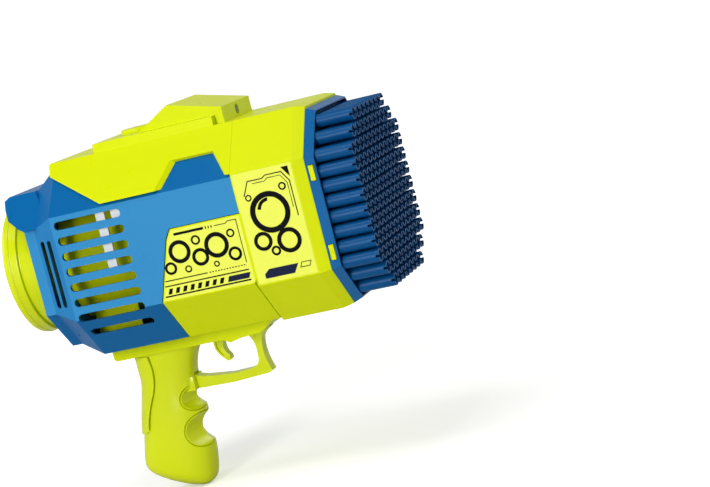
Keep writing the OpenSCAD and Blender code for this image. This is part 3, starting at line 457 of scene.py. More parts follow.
def lathe_into(bm, profile, turns=144):
    """Turns a closed profile of (radius, x) about the nozzle axis. Where it meets the axis it closes in a point."""
    rings = []
    for radius, x in profile:
        if radius < 1e-6:
            rings.append([bm.verts.new(at(x, 0, 0))] * turns)
        else:
            rings.append([bm.verts.new(at(x, radius * math.cos(a), radius * math.sin(a))) for a in around(turns)])
    made = []
    for ring, after in zip(rings, rings[1:] + rings[:1]):
        for k in range(turns):
            j = (k + 1) % turns
            corners = list(dict.fromkeys((ring[k], ring[j], after[j], after[k])))
            if len(corners) > 2:
                made.append(bm.faces.new(corners))
    bmesh.ops.recalc_face_normals(bm, faces=made)


def add_turned(obj, profiles, turns=144):
    """Adds turned solids to a piece."""
    bm = bmesh.new()
    bm.from_mesh(obj.data)
    for profile in profiles:
        lathe_into(bm, profile, turns)
    bm.to_mesh(obj.data)
    bm.free()


# Geometry Nodes

def new_tree(name, inputs, takes_mesh=False):
    """Geometry tree with named inputs, and its input node."""
    tree = bpy.data.node_groups.new(name, "GeometryNodeTree")
    if takes_mesh:
        tree.interface.new_socket("Geometry", in_out="INPUT", socket_type="NodeSocketGeometry")
    for label, kind in inputs:
        tree.interface.new_socket(label, in_out="INPUT", socket_type="NodeSocket" + kind)
    tree.interface.new_socket("Geometry", in_out="OUTPUT", socket_type="NodeSocketGeometry")
    return tree, tree.nodes.new("NodeGroupInput").outputs


def close_tree(tree, geometry, finish, weld=0.0):
    """Ends a tree with real faces in one finish."""
    real = add(tree, "GeometryNodeRealizeInstances", (), {0: geometry}).outputs[0]
    if weld:
        real = add(tree, "GeometryNodeMergeByDistance", (), {"Geometry": real, "Distance": weld}).outputs[0]
    painted = add(tree, "GeometryNodeSetMaterial", (), {"Geometry": real, "Material": finish})
    add(tree, "NodeGroupOutput", (), {0: painted.outputs[0]})


def grow(name, tree, values, mesh=None):
    """Runs a tree with its inputs set, and returns the plain mesh that it makes."""
    obj = link(name, mesh or bpy.data.meshes.new(name))
    step = obj.modifiers.new(tree.name, "NODES")
    step.node_group = tree
    names = {s.name: s.identifier for s in tree.interface.items_tree if s.in_out == "INPUT"}
    for label, value in values.items():
        step[names[label]] = value
    return baked(obj)


def copies(tree, points, piece, **more):
    """A piece at every point."""
    shape = add(tree, "GeometryNodeObjectInfo", (), {"Object": piece})
    return add(tree, "GeometryNodeInstanceOnPoints", (), {
        "Points": points, "Instance": shape.outputs["Geometry"], **more}).outputs[0]


def grid_tree(finish):
    """One piece at every place of a square grid that lies inside the eight-sided mouth."""
    tree, given = new_tree("tubes_on_a_grid", [
        ("Piece", "Object"), ("Pitch", "Float"), ("Rows", "Int"), ("Reach", "Float"), ("Centre", "Vector")])
    side = calc(tree, "MULTIPLY", calc(tree, "SUBTRACT", given["Rows"], 1.0), given["Pitch"])
    grid = add(tree, "GeometryNodeMeshGrid", (), {
        "Size X": side, "Size Y": side, "Vertices X": given["Rows"], "Vertices Y": given["Rows"]})
    upright = add(tree, "GeometryNodeTransform", (), {"Geometry": grid.outputs[0], "Rotation": (0, math.pi / 2, 0)})
    spot = add(tree, "ShaderNodeSeparateXYZ", (), {0: add(tree, "GeometryNodeInputPosition").outputs[0]})
    total = calc(tree, "ADD", *(calc(tree, "ABSOLUTE", spot.outputs[way]) for way in "YZ"))
    outside = add(tree, "FunctionNodeCompare", {"operation": "GREATER_THAN"}, {0: total, 1: given["Reach"]})
    mouth = add(tree, "GeometryNodeDeleteGeometry", {"domain": "POINT"}, {
        "Geometry": upright.outputs[0], "Selection": outside.outputs[0]})
    moved = add(tree, "GeometryNodeTransform", (), {"Geometry": mouth.outputs[0], "Translation": given["Centre"]})
    close_tree(tree, copies(tree, moved.outputs[0], given["Piece"]), finish, weld=1e-6)
    return tree


def wheel_tree(finish):
    """One piece repeated round the nozzle axis."""
    tree, given = new_tree("round_the_axis", [("Piece", "Object"), ("Count", "Int"), ("Centre", "Vector")])
    line = add(tree, "GeometryNodeMeshLine", (), {
        "Count": given["Count"], "Start Location": given["Centre"], "Offset": (0, 0, 0)})
    index = add(tree, "GeometryNodeInputIndex").outputs[0]
    angle = calc(tree, "MULTIPLY", index, calc(tree, "DIVIDE", 2 * math.pi, given["Count"]))
    spin = add(tree, "ShaderNodeCombineXYZ", (), {"X": angle})
    close_tree(tree, copies(tree, line.outputs[0], given["Piece"], Rotation=spin.outputs[0]), finish)
    return tree


def scatter_tree(finish):
    """One piece at every point of the mesh that the tree is given."""
    tree, given = new_tree("at_the_points", [("Piece", "Object")], takes_mesh=True)
    close_tree(tree, copies(tree, given["Geometry"], given["Piece"]), finish)
    return tree


def coil_tree(finish):
    """A round wire wound into an open coil."""
    tree, given = new_tree("wound_coil", [
        ("Radius", "Float"), ("Wire", "Float"), ("Turns", "Float"), ("Length", "Float"),
        ("Foot", "Vector"), ("Lean", "Vector")])
    path = add(tree, "GeometryNodeCurveSpiral", (), {
        "Resolution": 40, "Rotations": given["Turns"], "Start Radius": given["Radius"],
        "End Radius": given["Radius"], "Height": given["Length"]})
    half = calc(tree, "MULTIPLY", given["Wire"], 0.5)
    ring = add(tree, "GeometryNodeCurvePrimitiveCircle", (), {"Resolution": 12, "Radius": half})
    wire = add(tree, "GeometryNodeCurveToMesh", (), {
        "Curve": path.outputs[0], "Profile Curve": ring.outputs[0], "Fill Caps": True})
    placed = add(tree, "GeometryNodeTransform", (), {
        "Geometry": wire.outputs[0], "Translation": given["Foot"], "Rotation": given["Lean"]})
    close_tree(tree, placed.outputs[0], finish)
    return tree


# Casing: the shells' front end and section
SHELL_FRONT, SHELL_HALF, SHELL_SLANT = -43.0, 65.0, 100.2
# How far a cutter reaches past what it cuts
CLEAR = 5.0
# Side notch of the cover: ends of its top edge along the barrel, the edge's place across and up, and the wall's depth
NOTCH_AFT, NOTCH_FORE, NOTCH_OUT, NOTCH_UP, NOTCH_DEEP = -85.95, -55.05, 50.7, 53.04, 2.6
# How far the notch's end walls come in for each step inward, and the rear one for each step down too
AFT_INWARD, AFT_DOWN, FORE_INWARD = 1.334, 0.7, -0.6345


def collar_gap():
    """Cutter of the shadow gap on the slants, right behind the collar."""
    wide, deep = sizes().gap / MM, sizes().gap_depth / MM
    outside = octagon(SHELL_HALF + CLEAR, SHELL_SLANT + CLEAR * ROOT2)
    inside = octagon(SHELL_HALF + CLEAR / 2, SHELL_SLANT - deep * ROOT2)
    ring = prism("gap", outside, SHELL_FRONT - wide, SHELL_FRONT + 1, "x")
    return carve(ring, prism("gap_core", inside, SHELL_FRONT - CLEAR, SHELL_FRONT + CLEAR, "x"))


def notch_wall(side):
    """Cutter that sets the notch's upper wall square to the slanted face, between the notch's end walls."""
    past, run = 0.4, NOTCH_DEEP / ROOT2
    low = NOTCH_UP - 2.5 * run
    outline = [(NOTCH_OUT + past, NOTCH_UP + past), (NOTCH_OUT - run, NOTCH_UP - run),
               (NOTCH_OUT - run, low), (NOTCH_OUT + past, low)]
    cutter = prism("notch_wall", [(side * y, z) for y, z in outline], NOTCH_AFT, NOTCH_FORE, "x")
    edge = at((NOTCH_AFT + NOTCH_FORE) / 2, NOTCH_OUT, NOTCH_UP)
    for vertex in cutter.data.vertices:
        inward, down = edge.y - abs(vertex.co.y), edge.z - vertex.co.z
        vertex.co.x += AFT_INWARD * inward + AFT_DOWN * down if vertex.co.x < edge.x else FORE_INWARD * inward
    return cutter


class BLOWER_OT_casing(bpy.types.Operator):
    """Rounds the edges of the casing and the trigger guard, and cuts the gap behind the collar"""

    bl_idname = "blower.casing"
    bl_label = "Casing"

    def execute(self, context):
        edge, seam = sizes().edge, sizes().seam_edge
        dress("front_collar", "lime", edge, angle=10)
        dress("top_cover", "lime", edge, cutters=[notch_wall(side) for side in SIDES])
        for node, key in (("handle_base", "lime"), ("light_housing", "lime"), ("trigger_guard", "bright_lime")):
            dress(node, key, edge)
        for side in ("_right", "_left"):
            dress("rear_shell" + side, "blue", seam)
            dress("lower_shell" + side, "lime", seam, cutters=[collar_gap()])
        return {"FINISHED"}


# Nozzle: stations along the axis and the sections of the tray, as the CAD has them
PLATE_FRONT, PLATE_BACK, TRAY_BACK, FLANGE_BACK = 10.0, 7.0, -8.0, -10.5
MOUTH_HALF, MOUTH_SLANT = 61.3, 96.38
TRAY_GAP, TRAY_WALL, FLANGE_HALF, FLANGE_SLANT = 0.2, 2.0, 63.3, 99.21
TUBE_ROWS = 12


def tube_cell():
    """One crown-notched tube with its square of the plate, about the origin, with x along the tube."""
    s = sizes()
    outer, inner, half = s.tube_od / 2, s.tube_bore / 2, s.tube_pitch / 2
    back, tip = (PLATE_BACK - PLATE_FRONT) * MM, s.tube_len
    floor = tip - s.crown_depth
    steps = 4

    def angles(radius):
        notch = math.asin(s.crown_w / 2 / radius)
        tooth = (math.pi / 2 - 2 * notch) / steps
        return [q * math.pi / 2 + a for q in range(4)
                for a in [-notch, 0.0] + [notch + k * tooth for k in range(steps)]]

    bm = bmesh.new()

    def ring(radius, x):
        return [bm.verts.new((x, radius * math.cos(a), radius * math.sin(a))) for a in angles(radius)]

    def square(x):
        return [bm.verts.new((x, *(half * v / max(abs(math.cos(a)), abs(math.sin(a)))
                                   for v in (math.cos(a), math.sin(a))))) for a in angles(outer)]

    edge_front, edge_back = square(0), square(back)
    out_foot, out_floor, out_tip = ring(outer, 0), ring(outer, floor), ring(outer, tip)
    in_back, in_floor, in_tip = ring(inner, back), ring(inner, floor), ring(inner, tip)
    count = len(out_foot)
    period = steps + 2
    teeth = [k for k in range(count) if k % period >= 2]
    notches = [k for k in range(count) if k % period < 2]
    for a, b, spans in (
            (edge_front, out_foot, None), (out_foot, out_floor, None), (in_floor, in_back, None),
            (in_back, edge_back, None), (out_floor, out_tip, teeth), (in_tip, in_floor, teeth),
            (out_tip, in_tip, teeth), (out_floor, in_floor, notches)):
        stitch(bm, a, b, spans)
    for k in range(count):
        if k % period in (0, 2):
            bm.faces.new((out_floor[k], out_tip[k], in_tip[k], in_floor[k]))
    loose = [v for v in bm.verts if not v.link_faces]
    bmesh.ops.delete(bm, geom=loose, context="VERTS")
    return from_bmesh("tube_cell", bm)


class BLOWER_OT_nozzle(bpy.types.Operator):
    """Makes the nozzle plate with its grid of crown-notched tubes, and the bezel round it"""

    bl_idname = "blower.nozzle"
    bl_label = "Nozzle"

    def execute(self, context):
        s = sizes()
        dress("nozzle_bezel", "rich_blue", s.fine_edge)
        cell = tube_cell()
        reach = (MOUTH_SLANT - s.tube_od / 2 / MM * ROOT2) * MM
        tubes = grow("nozzle_tubes", grid_tree(finish_of("deep_blue")[0]), {
            "Piece": cell, "Pitch": s.tube_pitch, "Rows": TUBE_ROWS, "Reach": reach,
            "Centre": at(PLATE_FRONT, 0, 0)})
        bpy.data.objects.remove(cell)
        self.add_border(tubes)
        settle(tubes, "deep_blue", "housing", "nozzle_plate", angle=40)
        return {"FINISHED"}

    def add_border(self, tubes):
        """Closes the plate from the stepped edge of the grid to the walls of its tray."""
        bm = bmesh.new()
        bm.from_mesh(tubes.data)
        edge = [e for e in bm.edges if len(e.link_faces) == 1]
        half, slant = MOUTH_HALF - TRAY_GAP, MOUTH_SLANT - TRAY_GAP * ROOT2
        outer, inner = octagon(half, slant), octagon(half - TRAY_WALL, slant - TRAY_WALL * ROOT2)
        flange = octagon(FLANGE_HALF, FLANGE_SLANT)

        def loop(corners, x):
            verts = [bm.verts.new(at(x, *p)) for p in corners]
            return verts, [bm.edges.new((verts[i], verts[(i + 1) % 8])) for i in range(8)]

        front, front_edges = loop(outer, PLATE_FRONT)
        rear, rear_edges = loop(inner, PLATE_BACK)
        for x, ring, facing in ((PLATE_FRONT, front_edges, 1), (PLATE_BACK, rear_edges, -1)):
            here = [e for e in edge if all(abs(v.co.x - at(x, 0, 0).x) < 1e-5 for v in e.verts)]
            bmesh.ops.triangle_fill(bm, use_beauty=True, edges=here + ring, normal=(facing, 0, 0))
        chain = [front, loop(outer, TRAY_BACK)[0], loop(flange, TRAY_BACK)[0], loop(flange, FLANGE_BACK)[0],
                 loop(inner, FLANGE_BACK)[0], rear]
        for a, b in zip(chain, chain[1:]):
            stitch(bm, a, b)
        bmesh.ops.recalc_face_normals(bm, faces=bm.faces)
        bm.to_mesh(tubes.data)
        bm.free()


# Grip: sections from top to bottom, with x and drop of the back edge, x and drop of the front edge, half width
GRIP_TOP = (-173.0, -74.0)
GRIP_ROWS = [
    (8, 0, 55.3, 0, 16), (8, 10, 50, 9, 15.4), (7.7, 21, 47, 18, 15.1), (4, 35, 46.1, 30, 15.4),
    (1, 45.5, 46.6, 41, 16), (-1.5, 56, 46.6, 52, 16.4), (-4, 66, 46.2, 64, 16.8), (-5.7, 74, 45.5, 76, 17),
    (-5.5, 78.5, 44, 85.5, 16.6), (-3, 82, 42.2, 92.5, 15.2), (4.5, 87.5, 39.4, 96.3, 12), (15, 93.3, 35, 98.5, 7)]
GRIP_WALL, GRIP_SWELL = 2.4, 1.4
# Finger scoops: place and radius of each, their sweep along the side, their reach and the plain rim round them
SCOOPS = [(52, -36.5, 8.6), (54, -59.5, 12.0)]
SCOOP_SWEEP, SCOOP_START, SCOOP_END, SCOOP_RIM = math.radians(24), -4, 56, 0.5
SWELL_CREASE = [[(21, -2), (24, -16), (17.5, -29)], [(17.5, -29), (10.4, -41), (8, -52)]]
GUARD_SLOT, GUARD_HALF = [(41.8, -33.2), (58, -33.2), (58, -20.8), (41.8, -20.8)], 4.6
GUARD_ROOT, ROOT_HALF = [(40, -32.2), (46.6, -32.2), (46.6, -22.4), (40, -22.4)], 9.4
DOOR_MID, DOOR_SIZE, DOOR_GAP, DOOR_INNER = (18.1, -43.0), (25.0, 58.0), 0.25, 3
GRIP_LEAN = math.radians(8.5)
# Outline and half width of a box that holds the whole grip
GRIP_FIELD, GRIP_REACH = [(-30, 5), (90, 5), (90, -105), (-30, -105)], 40


def grip_point(x, y, z):
    """Point of the grip, from the back of its top edge."""
    return GRIP_TOP[0] + x, y, GRIP_TOP[1] + z


def curve_through(rows, steps):
    """Rows with smooth rows added between them."""
    out = []
    last = len(rows) - 1
    for i in range(last):
        a, b, c, d = (rows[max(0, min(last, k))] for k in (i - 1, i, i + 1, i + 2))
        for t in (n / steps for n in range(steps)):
            out.append([0.5 * (2 * q + (r - p) * t + (2 * p - 5 * q + 4 * r - s) * t * t
                               + (3 * q - p - 3 * r + s) * t ** 3) for p, q, r, s in zip(a, b, c, d)])
    return out + [list(rows[last])]


def grip_solid(name, rows, swell):
    """Closed loft through the grip's sections, grown on all sides by swell."""
    sides, steps, rings = 112, 7, []
    for xb, zb, xf, zf, half in curve_through([(r[0], -r[1], r[2], -r[3], r[4]) for r in rows], steps):
        depth = Vector((xf - xb, zf - zb))
        unit, mid = depth.normalized(), Vector((xf + xb, zf + zb)) / 2
        ring = []
        for a in around(sides):
            share = [math.copysign(abs(v) ** 0.8, v) if abs(v) > 1e-9 else 0.0 for v in (math.cos(a), math.sin(a))]
            out = mid + unit * share[0] * (depth.length / 2 + swell)
            ring.append(at(*grip_point(out.x, share[1] * (half + swell), out.y)))
        rings.append(ring)
    return loft(name, rings)


def grip_prism(name, outline, low, high):
    """Solid with an x-z outline that counts from the grip's top."""
    return prism(name, [(GRIP_TOP[0] + p[0], GRIP_TOP[1] + p[1]) for p in outline], low, high)


def crease_line():
    """Front edge of the palm swell, from top to bottom."""
    first, second = (bend(*part) for part in SWELL_CREASE)
    return first + second[1:]


def swelled_grip(name):
    """Outside of the whole grip with its palm swell."""
    area = grip_prism("area", [(-20, 0), *crease_line(), (5, -54), (-20, -57)], -GRIP_REACH, GRIP_REACH)
    swell = carve(grip_solid("swell", GRIP_ROWS, GRIP_SWELL), area, "INTERSECT")
    return carve(grip_solid(name, GRIP_ROWS, 0), swell, "UNION")


def scoop(side, index, more=0.0, longer=0.0):
    """Cutter of one finger scoop, which sweeps back along the side."""
    x, z, radius = SCOOPS[index]
    way = Vector((-math.sin(SCOOP_SWEEP), side * math.cos(SCOOP_SWEEP), 0))
    foot = Vector(grip_point(x, 0, z))
    return rod("scoop", foot + (SCOOP_START - longer) * way, foot + (SCOOP_END + longer) * way, radius + more)


def door_outline(more):
    """Corners of the battery door, leaning with the grip."""
    w, h = DOOR_SIZE[0] / 2 + more, DOOR_SIZE[1] / 2 + more
    turn = Matrix.Rotation(-GRIP_LEAN, 2)
    return [tuple(Vector(DOOR_MID) + turn @ Vector(p)) for p in rounded([(-w, -h), (w, -h), (w, h), (-w, h)], 2.5)]


class BLOWER_OT_grip(bpy.types.Operator):
    """Lofts the two halves of the grip with their palm swell, finger scoops and battery door"""

    bl_idname = "blower.grip"
    bl_label = "Grip"

    def execute(self, context):
        hollow_rows = [(8, -1, 55.3, -1, 16), *GRIP_ROWS[:-3]]
        for side, name in zip(SIDES, ("grip_right", "grip_left")):
            low, high = sorted((side * sizes().seam / 2 / MM, side * GRIP_REACH))
            half = swelled_grip(name + "_skin")
            crease = stroke(crease_line(), sizes().line / MM)
            carve(half, self.shallow(grip_prism("crease", crease, -GRIP_REACH, GRIP_REACH)))
            room = grip_solid("room", hollow_rows, -GRIP_WALL)
            for index in range(len(SCOOPS)):
                carve(room, scoop(side, index, GRIP_WALL))
                ring = scoop(side, index, SCOOP_RIM + sizes().line / MM)
                carve(ring, scoop(side, index, SCOOP_RIM, 2))
                carve(half, self.shallow(ring))
                carve(half, scoop(side, index))
            root = grip_prism("guard_root", GUARD_ROOT, -ROOT_HALF, ROOT_HALF)
            carve(half, soften(root, sizes().edge), "UNION")
            carve(half, room)
            carve(half, grip_prism("guard_slot", GUARD_SLOT, -GUARD_HALF, GUARD_HALF))
            if side > 0:
                carve(half, grip_prism("door_hole", door_outline(DOOR_GAP), DOOR_INNER, GRIP_REACH))
            carve(half, grip_prism("half", GRIP_FIELD, low, high), "INTERSECT")
            settle(half, "bright_lime", "housing", name, angle=28)
        door = swelled_grip("battery_door_skin")
        carve(door, grip_solid("room", hollow_rows, -GRIP_WALL))
        carve(door, grip_prism("door_area", door_outline(0), DOOR_INNER, GRIP_REACH), "INTERSECT")
        settle(door, "bright_lime", "housing", "battery_door", angle=28)
        return {"FINISHED"}

    def shallow(self, cutter):
        """Keeps of a cutter what lies in the skin of the grip, to the depth of an engraved line."""
        return carve(cutter, grip_solid("core", GRIP_ROWS, -sizes().line_depth / MM))


# Trigger: where its pin lies along the barrel, and the underside of the handle base
PIN_X, BASE_LOW = -104.0, -74.0


class BLOWER_OT_trigger(bpy.types.Operator):
    """Rounds the trigger and cuts the line along its back edge"""

    bl_idname = "blower.trigger"
    bl_label = "Trigger"

    def execute(self, context):
        obj = from_bmesh("trigger_skin", copy_of("trigger"))
        back = bend((PIN_X - 3.5, BASE_LOW - 1.5), (PIN_X - 6.1, BASE_LOW - 10), (PIN_X + 3.6, BASE_LOW - 17.6), 24)
        inset, width, half = 1.3, 1.1, 3.5
        track = []
        for a, b in zip(back[1:20], back[2:21]):
            along = (b - a).normalized()
            inward = Vector((-along.y, along.x))
            track.append((a + inset * inward, a + (inset + width) * inward))
        outline = [p[0] for p in track] + [p[1] for p in track[::-1]]
        depth = sizes().groove / MM
        soften(obj, sizes().fine_edge * 1.4)
        for side in SIDES:
            low, high = sorted((side * (half - depth), side * (half + 1)))
            carve(obj, prism("groove", outline, low, high))
        settle(obj, "bright_lime", "trigger", "trigger")
        return {"FINISHED"}


# Intake ring and fan: stations along the axis
RING_BACK, PLUG_BACK, SHELL_WALL = -225.0, -197.0, 2.6
RING_R, NECK_R, SPIGOT_R, MOUTH_R = 46.7, 44.5, 41.8, 38.0
GRILLE_BACK, GRILLE_T = PLUG_BACK - 6, 2.0
GRILLE_RINGS, SPOKES, SEAT_R = ((8, 10), (18, 20), (28, 30), (35.4, 37.8)), 8, 36.8
FAN_BACK, HUB_LEN, HUB_R, FAN_R, SHAFT_R = -192.0, 11.0, 12.0, 43.0, 1.0
BLADES = 7


class BLOWER_OT_intake(bpy.types.Operator):
    """Turns the intake ring, and sets the rings and spokes of its grille"""

    bl_idname = "blower.intake"
    bl_label = "Intake ring and grille"

    def execute(self, context):
        b, f, seat = RING_BACK, RING_BACK + 12, GRILLE_BACK + GRILLE_T
        bm = bmesh.new()
        lathe_into(bm, rounded([
            (MOUTH_R, b), (RING_R - 4, b), (RING_R - 0.5, b + 2), (RING_R, b + 4), (RING_R, b + 6),
            (RING_R - 0.6, b + 6.6), (RING_R - 0.6, f), (NECK_R - 1, f), (NECK_R - 1, f + 1.2), (NECK_R, f + 1.2),
            (NECK_R, PLUG_BACK), (SPIGOT_R, PLUG_BACK), (SPIGOT_R, PLUG_BACK + SHELL_WALL),
            (SEAT_R, PLUG_BACK + SHELL_WALL), (SEAT_R, seat), (MOUTH_R, seat)], 0.6, 3))
        settle(from_bmesh("intake_ring_skin", bm), "bright_lime", "housing", "intake_ring")
        spoke = self.spoke()
        grille = grow("intake_grille_skin", wheel_tree(finish_of("lime")[0]), {
            "Piece": spoke, "Count": SPOKES, "Centre": NOZZLE * MM})
        bpy.data.objects.remove(spoke)
        add_turned(grille, [rounded([(low, GRILLE_BACK), (high, GRILLE_BACK), (high, seat), (low, seat)], 0.5, 3)
                            for low, high in GRILLE_RINGS])
        settle(grille, "lime", "housing", "intake_grille")
        return {"FINISHED"}

    def spoke(self):
        """One bar of the grille about the origin, which points along y."""
        section = rounded([(0, -0.9), (GRILLE_T, -0.9), (GRILLE_T, 0.9), (0, 0.9)], 0.5, 2)
        return loft("spoke", [[Vector((GRILLE_BACK + p.x, reach, p.y)) * MM for p in section]
                              for reach in (GRILLE_RINGS[0][0] + 1, GRILLE_RINGS[-1][1] - 1)])


def fan_blade():
    """One bowed and twisted blade about the origin, with its root at the hub."""
    chord, pitch, twist, slices = HUB_LEN - 1.6, math.radians(32), math.radians(22), 14
    outline = rounded(
        bend((-chord / 2, -2.2), (0, 3.4), (chord / 2, -2.2), 10)
        + bend((chord / 2, -3.3), (0, 1.6), (-chord / 2, -3.3), 10), 0.3, 1)
    mid, root = FAN_BACK + HUB_LEN / 2, HUB_R - 1
    rings = []
    for k in range(slices + 1):
        turn = Matrix.Rotation(-pitch - twist * k / slices, 2)
        radius = root + (FAN_R - root) * k / slices
        points = [turn @ Vector(p) for p in outline]
        rings.append([Vector((mid + p.x, p.y, radius)) * MM for p in points])
    return loft("fan_blade", rings)


class BLOWER_OT_fan(bpy.types.Operator):
    """Makes the fan's hub and blades, and finishes what drives it"""

    bl_idname = "blower.fan"
    bl_label = "Fan"

    def execute(self, context):
        blade = fan_blade()
        fan = grow("fan_impeller_skin", wheel_tree(finish_of("white")[0]), {
            "Piece": blade, "Count": BLADES, "Centre": NOZZLE * MM})
        bpy.data.objects.remove(blade)
        front, back = FAN_BACK + HUB_LEN, FAN_BACK
        dome = [tuple(p) for p in bend((HUB_R, back + 4), (HUB_R, back), (0, back))]
        add_turned(fan, [[(SHAFT_R, back + 3), (SHAFT_R, front), (HUB_R - 0.4, front), (HUB_R, front - 0.4),
                          *dome, (0, back + 3)]], 64)
        settle(fan, "white", "fan", "fan_impeller")
        for node, key in (("fan_shaft", "steel"), ("fan_motor", "steel"), ("fan_duct", "lime"),
                          ("duct_straps", "white"), ("diffuser", "lime")):
            keep(node, key)
        return {"FINISHED"}


class BLOWER_OT_light(bpy.types.Operator):
    """Finishes the light's lens and lamp, and rounds its push button"""

    bl_idname = "blower.light"
    bl_label = "Light and button"

    def execute(self, context):
        dress("light_button", "lime", sizes().fine_edge, "button")
        keep("light_lens", "clear")
        keep("light_led", "white")
        keep("button_switch", "steel")
        return {"FINISHED"}


class BLOWER_OT_springs(bpy.types.Operator):
    """Winds the springs under the trigger and the button, and lays in the switch's leaf"""

    bl_idname = "blower.springs"
    bl_label = "Springs"

    def execute(self, context):
        tree = coil_tree(finish_of("steel")[0])
        low, high = (v.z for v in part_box("button_spring"))
        mid = sum(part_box("button_spring"), Vector()) / 2
        wire = 0.6 * MM
        coil = grow("button_spring_wire", tree, {
            "Radius": 9.5 * MM, "Wire": wire, "Turns": 3.0, "Length": high - low - wire,
            "Foot": (mid.x, mid.y, low + wire / 2), "Lean": (0, 0, 0)})
        settle(coil, "steel", "housing", "button_spring", angle=60)
        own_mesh(coil)
        near, far = (v.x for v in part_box("trigger_spring"))
        mid = sum(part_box("trigger_spring"), Vector()) / 2
        wire = 0.7 * MM
        coil = grow("trigger_spring_wire", tree, {
            "Radius": 2 * MM, "Wire": wire, "Turns": 5.0, "Length": far - near - wire,
            "Foot": (near + wire / 2, mid.y, mid.z), "Lean": (0, math.pi / 2, 0)})
        settle(coil, "steel", "housing", "trigger_spring", angle=60)
        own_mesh(coil)
        leaf = from_bmesh("switch_leaf_strip", copy_of("switch_leaf"))
        settle(leaf, "steel", "housing", "switch_leaf")
        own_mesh(leaf)
        return {"FINISHED"}


# Screws: radius, head, level of the head's underside, and length
SCREW_R, SCREW_HEAD_R, SCREW_HEAD_T, SCREW_HEAD_Y, SCREW_LEN = 1.3, 2.8, 2.0, 9.0, 20.0


def screw_piece():
    """Pan-head screw about the middle of its head's underside, with its shank along -y and a cross recess."""
    profile = [(0, -SCREW_LEN), (0.5, -SCREW_LEN + 0.4)]
    threads = 10
    for k in range(threads):
        y = -SCREW_LEN + 1.5 + k * (SCREW_LEN - 4) / threads
        profile += [(SCREW_R - 0.3, y), (SCREW_R, y + 0.6), (SCREW_R - 0.3, y + 1.2)]
    profile += [(SCREW_R - 0.1, 0), (SCREW_HEAD_R - 0.2, 0), (SCREW_HEAD_R, 0.3)]
    profile += [tuple(p) for p in bend((SCREW_HEAD_R, 0.8), (SCREW_HEAD_R - 0.2, SCREW_HEAD_T), (0, SCREW_HEAD_T), 6)]
    bm = bmesh.new()
    lathe_into(bm, profile, 24)
    bm.transform(Matrix.Translation(-NOZZLE * MM))
    bm.transform(Matrix.Rotation(math.pi / 2, 4, "Z"))
    obj = from_bmesh("screw", bm)
    for wide, deep in ((0.7, 3.2), (3.2, 0.7)):
        slot = prism("recess", slab(-wide / 2, -deep / 2, wide, deep), SCREW_HEAD_T - 1.1, SCREW_HEAD_T + 1)
        slot.data.transform(Matrix.Translation(-NOZZLE * MM))
        carve(obj, slot)
    return obj


class BLOWER_OT_screws(bpy.types.Operator):
    """Sets the screws of the casing and the grip"""

    bl_idname = "blower.screws"
    bl_label = "Screws"

    def execute(self, context):
        tree = scatter_tree(finish_of("steel")[0])
        screw = screw_piece()
        for node, spots in (
                ("housing_screws", [(-165.5, -55), (-126, -55), (-165.5, 55), (-126, 55), (-79.6, 55), (-76.6, -55)]),
                ("grip_screws", [(-133, -87), (-149, -158)])):
            points = bpy.data.meshes.new(node)
            points.from_pydata([at(x, SCREW_HEAD_Y, z) for x, z in spots], [], [])
            settle(grow(node + "_set", tree, {"Piece": screw}, points), "steel", "housing", node)
        bpy.data.objects.remove(screw)
        return {"FINISHED"}


class BLOWER_OT_inside(bpy.types.Operator):
    """Finishes the switch, the battery and the other pieces inside the handle"""

    bl_idname = "blower.inside"
    bl_label = "Inside the handle"

    def execute(self, context):
        for node, key in (("trigger_pin", "steel"), ("trigger_bracket", "white"), ("trigger_switch", "black"),
                          ("battery_tray", "white"), ("battery_cell", "wrap"), ("battery_contacts", "steel")):
            keep(node, key)
        return {"FINISHED"}


# Labels: the flat sides that they lie on
COLLAR_SIDE, SHELL_SIDE = -66.5, -65.0


def print_piece(name, key, face, outlines):
    """Thin print on a label: each outline is a list of x-z points, or a ring as (x, z, radius, line)."""
    s = sizes()
    low, high = face - (s.film + s.ink) / MM, face - s.film / MM + 0.02
    bm = bmesh.new()
    for outline in outlines:
        if isinstance(outline, tuple):
            x, z, radius, line = outline
            loops = [[(x + r * math.cos(a), z + r * math.sin(a)) for a in around(48)] for r in (radius, radius - line)]
        else:
            loops = [outline]
        rings = [[[bm.verts.new(at(p[0], h, p[1])) for p in loop] for loop in loops] for h in (low, high)]
        made = [face for low_loop, high_loop in zip(*rings) for face in stitch(bm, low_loop, high_loop)]
        for level in rings:
            made += [bm.faces.new(level[0])] if len(level) == 1 else stitch(bm, *level)
        bmesh.ops.recalc_face_normals(bm, faces=made)
    return settle(from_bmesh(name, bm), key, "housing")


